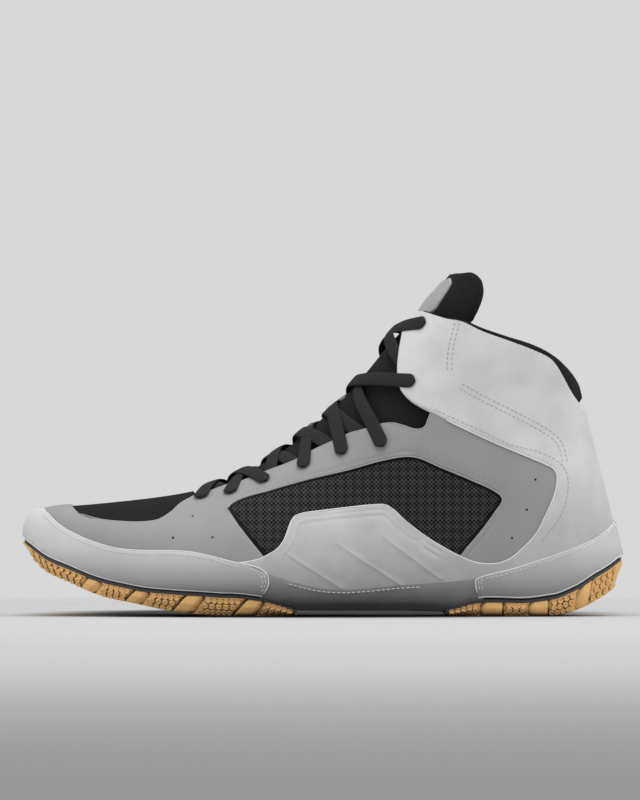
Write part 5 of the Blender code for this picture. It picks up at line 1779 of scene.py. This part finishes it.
@dataclass
class Seams:
    """Every row of stitches, and the pinholes."""

    drawing: Drawing
    upper: Upper

    def build(self) -> None:
        """Sews the rows."""
        upper = self.upper
        pale = Threads("rand_stitches", PALE_THREAD, "white")
        grey = Threads("cuff_stitches", GREY_THREAD, "white", radius=0.2 * MM)
        rand = upper.rand
        for side in (-1, 1):
            toe = upper.line(TOE_TOP[1:-1], Wrap.TOE, side)
            pale.run(off_line(toe, 1.9 * MM * side, False), rand)
            toe_end = upper.line(TOE_END[:-1], Wrap.TOE, side)
            for distance in (1.3 * MM, 2.6 * MM):
                pale.run(off_line(toe_end, distance * side, False), rand)
            heel = upper.line(HEEL_TOP, Wrap.HEEL, side)
            pale.run(off_line(heel, 1.6 * MM * (-side), False), rand + 0.1 * MM)
            heel_end = upper.line(HEEL_END[:-1], Wrap.HEEL, side)
            for distance in (1.3 * MM, 2.6 * MM):
                pale.run(off_line(heel_end, distance * (-side), False), rand + 0.1 * MM)
            arch = upper.line(ARCH_TOP[2:-2], Wrap.OVER, side)
            pale.run(off_line(arch, 1.6 * MM * side, False), upper.waist + 0.4 * MM)
            for line, distances in ((CUFF_SEAM, (0.0, 2.2 * MM)), (CUFF_SWEEP, (0.0, 2.4 * MM)), (QUARTER_SEAM, (0.0,))):
                spots = upper.line(line, Wrap.HEEL, side)
                for distance in distances:
                    grey.run(off_line(spots, distance * side, False), upper.frame)
        pale.build()
        grey.build()
        self.build_edges()
        self.build_pinholes()

    def build_edges(self) -> None:
        """Adds the cut edges of the overlays, coloured lighter than the overlays as partly a painted highlight, and the
        pale line over the foam strip.
        """
        upper = self.upper
        white, grey = Piping("white_edges_and_highlights", WHITE_EDGE_AND_HIGHLIGHT), Piping("grey_edges_and_highlights", GREY_EDGE_AND_HIGHLIGHT, 0.25 * MM)
        for side in (-1, 1):
            white.run(upper.line(TOE_TOP[1:] + TOE_END[1:-1], Wrap.TOE, side), upper.rand - 0.25 * MM)
            white.run(upper.line(HEEL_TOP[1:] + HEEL_END[1:-1], Wrap.HEEL, side), upper.rand - 0.15 * MM)
            white.run(upper.line(SADDLE_TOP[:-1], Wrap.HEEL, side), upper.frame - 0.25 * MM)
            grey.run(upper.line(VAMP_EDGE[1:], Wrap.OVER, side), upper.panel - 0.2 * MM)
            grey.run(upper.line(WINDOW_EDGE[:-1], Wrap.OVER, side), upper.panel - 0.2 * MM)
            grey.run(upper.line((LATERAL_THROAT if side < 0 else MEDIAL_THROAT[:-2]), Wrap.OVER, side),
                     upper.panel - 0.2 * MM)
            toe = upper.line(TOE_END[-1:], Wrap.TOE, side)[0][0]
            white.run(straight((0.0, 0.12), (toe, 0.12), 150), upper.rand - 0.1 * MM)
            heel = upper.line(HEEL_END[-1:], Wrap.HEEL, side)[0][0]
            white.run(straight((math.pi, 0.12), (heel, 0.12), 120), upper.rand)
        white.build()
        grey.build()

    def build_pinholes(self) -> None:
        """Adds the small holes punched in the grey panel."""
        bm = bmesh.new()
        spots = self.drawing.find_all(Laces.metres(PINHOLES))
        for side in (-1, 1):
            placed = spots if side < 0 else Wrap.OVER.turned(spots)
            centres = LAST.place(placed[:, 0], placed[:, 1], self.upper.panel + 0.06 * MM)
            normals = LAST.normals(placed[:, 0], placed[:, 1])
            for centre, normal in zip(centres, normals):
                across = np.cross(normal, (0.0, 0.0, 1.0))
                across /= np.linalg.norm(across)
                up = np.cross(normal, across)
                ring = []
                for m in range(14):
                    turn = 2 * math.pi * m / 14
                    offset = (across * math.cos(turn) + up * math.sin(turn)) * 0.55 * MM
                    ring.append(bm.verts.new(centre + offset))
                bm.faces.new(ring)
        draw_coordinates(bm, (0, 2))
        finish_object(bm, "pinholes", HOLE, ())


# ---- Studio ----


@dataclass
class Studio:
    """The pale sweep, the lights and the camera."""

    distance: float = 6.0
    eye: float = 0.104
    seen_height: float = 0.3871
    floor_from: float = -6.0
    floor_to: float = 0.6

    def build(self) -> None:
        """Builds the studio."""
        self.build_world()
        self.build_floor()
        self.build_lights()
        self.build_camera()

    @staticmethod
    def build_world() -> None:
        """Sets the even pale background."""
        scene = bpy.context.scene
        world = bpy.data.worlds.new("studio")
        world.use_nodes = True
        back = world.node_tree.nodes["Background"]
        tree = world.node_tree
        where = tree.nodes.new("ShaderNodeTexCoord")
        axes = tree.nodes.new("ShaderNodeSeparateXYZ")
        tree.links.new(where.outputs["Generated"], axes.inputs["Vector"])
        span = tree.nodes.new("ShaderNodeMapRange")
        span.inputs["From Min"].default_value = -0.2
        span.inputs["From Max"].default_value = 0.4
        tree.links.new(axes.outputs["Z"], span.inputs["Value"])
        tone = tree.nodes.new("ShaderNodeValToRGB")
        stops = ((0.18, 0.06), (0.27, 0.685), (0.40, 0.685), (0.75, 0.30))
        ramp = tone.color_ramp.elements
        for k, (place, value) in enumerate(stops):
            stop = ramp[k] if k < 2 else ramp.new(place)
            stop.position = place
            stop.color = (value, value, value, 1.0)
        tree.links.new(span.outputs["Result"], tone.inputs["Fac"])
        tree.links.new(tone.outputs["Color"], back.inputs["Color"])
        back.inputs["Strength"].default_value = 1.0
        scene.world = world
        scene.view_settings.view_transform = "Standard"
        scene.view_settings.look = "None"

    def build_floor(self) -> None:
        """Lays the floor, which fades out behind the shoe and darkens towards the front. Its colour holds painted
        light: a tone that is paler towards the camera, where the lamps' light falls off, and darker near the shoe, and
        a painted shadow round the shoe.
        """
        bm = bmesh.new()
        corners = [(-4, self.floor_from), (4, self.floor_from), (4, self.floor_to), (-4, self.floor_to)]
        bm.faces.new([bm.verts.new((x, y, -0.0003)) for x, y in corners])
        mesh = bpy.data.meshes.new("floor")
        bm.to_mesh(mesh)
        bm.free()
        shader = Shader("studio floor")
        where = shader.add("TexCoord")
        axes = shader.add("SeparateXYZ")
        shader.join(where.outputs["Object"], axes.inputs["Vector"])
        depth = axes.outputs["Y"]
        # Painted light: the floor's tone is paler towards the camera and darker near the shoe.
        span = shader.add("MapRange")
        span.inputs["From Min"].default_value = -2.8
        span.inputs["From Max"].default_value = -0.1
        shader.join(depth, span.inputs["Value"])
        tone = shader.ramp(span.outputs["Result"], (0.0, (0.80, 0.80, 0.80)), (1.0, (0.515, 0.515, 0.515)))
        for place, value in ((0.41, 0.66), (0.73, 0.49)):
            tone.node.color_ramp.elements.new(place).color = (value, value, value, 1.0)
        # Painted shadow: a soft dark oval on the floor round and behind the shoe.
        shadow = shader.add("VectorMath", operation="MULTIPLY_ADD")
        shadow.inputs[1].default_value = (6.4, 6.5, 0.0)
        shadow.inputs[2].default_value = (0.0, -0.40, 0.0)
        shader.join(where.outputs["Object"], shadow.inputs[0])
        far = shader.add("VectorMath", operation="LENGTH")
        shader.join(shadow.outputs["Vector"], far.inputs[0])
        dark = shader.ramp(far.outputs["Value"], (0.62, (0.08, 0.08, 0.08)), (1.08, (1.0, 1.0, 1.0)))
        dark.node.color_ramp.interpolation = "EASE"
        mix = shader.add("Mix", data_type="RGBA", blend_type="MULTIPLY")
        mix.inputs["Factor"].default_value = 1.0
        shader.join(tone, mix.inputs["A"])
        shader.join(dark, mix.inputs["B"])
        shader.join(mix.outputs["Result"], shader.surface.inputs["Base Color"])
        shader.surface.inputs["Roughness"].default_value = 0.9
        shader.surface.inputs["Specular IOR Level"].default_value = 0.1
        fade = shader.add("MapRange")
        fade.inputs["From Min"].default_value = self.floor_to
        fade.inputs["From Max"].default_value = self.floor_to - 0.3
        shader.join(depth, fade.inputs["Value"])
        shader.join(fade.outputs["Result"], shader.surface.inputs["Alpha"])
        mesh.materials.append(shader.material)
        floor = bpy.data.objects.new("floor", mesh)
        bpy.context.collection.objects.link(floor)

    @staticmethod
    def build_lights() -> None:
        """Hangs the soft lights."""
        lights = (
            ("key", (-0.1, -0.8, 1.4), 1.2, 13.5),
            ("top", (0.1, 0.25, 1.5), 1.6, 15.0),
            ("toe side", (-1.3, -0.4, 0.5), 1.0, 4.5),
            ("heel side", (1.3, -0.5, 0.6), 1.0, 6.5),
        )
        for name, place, size, power in lights:
            light = bpy.data.lights.new(name, "AREA")
            light.energy = power
            light.size = size
            obj = bpy.data.objects.new(name, light)
            obj.location = place
            obj.rotation_euler = (Vector((0.0, 0.0, 0.05)) - Vector(place)).to_track_quat("-Z", "Y").to_euler()
            bpy.context.collection.objects.link(obj)

    def build_camera(self) -> None:
        """Sets the level camera square to the outer side."""
        lens = bpy.data.cameras.new("camera")
        lens.sensor_fit = "VERTICAL"
        lens.sensor_height = 36.0
        lens.lens = 36.0 * self.distance / self.seen_height
        lens.clip_end = 100.0
        camera = bpy.data.objects.new("camera", lens)
        camera.location = (-0.00133, -self.distance, self.eye)
        camera.rotation_euler = (math.radians(90), 0, 0)
        bpy.context.collection.objects.link(camera)
        bpy.context.scene.camera = camera


def main() -> None:
    """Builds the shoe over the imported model, and the studio round it."""
    logging.basicConfig(level=logging.INFO, format="%(message)s")
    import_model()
    drawing = Drawing(LAST)
    upper = Upper(drawing)
    upper.build()
    Tongue(drawing).build()
    Laces(drawing).build()
    Sole().build()
    Footbed().build()
    Seams(drawing, upper).build()
    Studio().build()


if __name__ == "__main__":
    main()
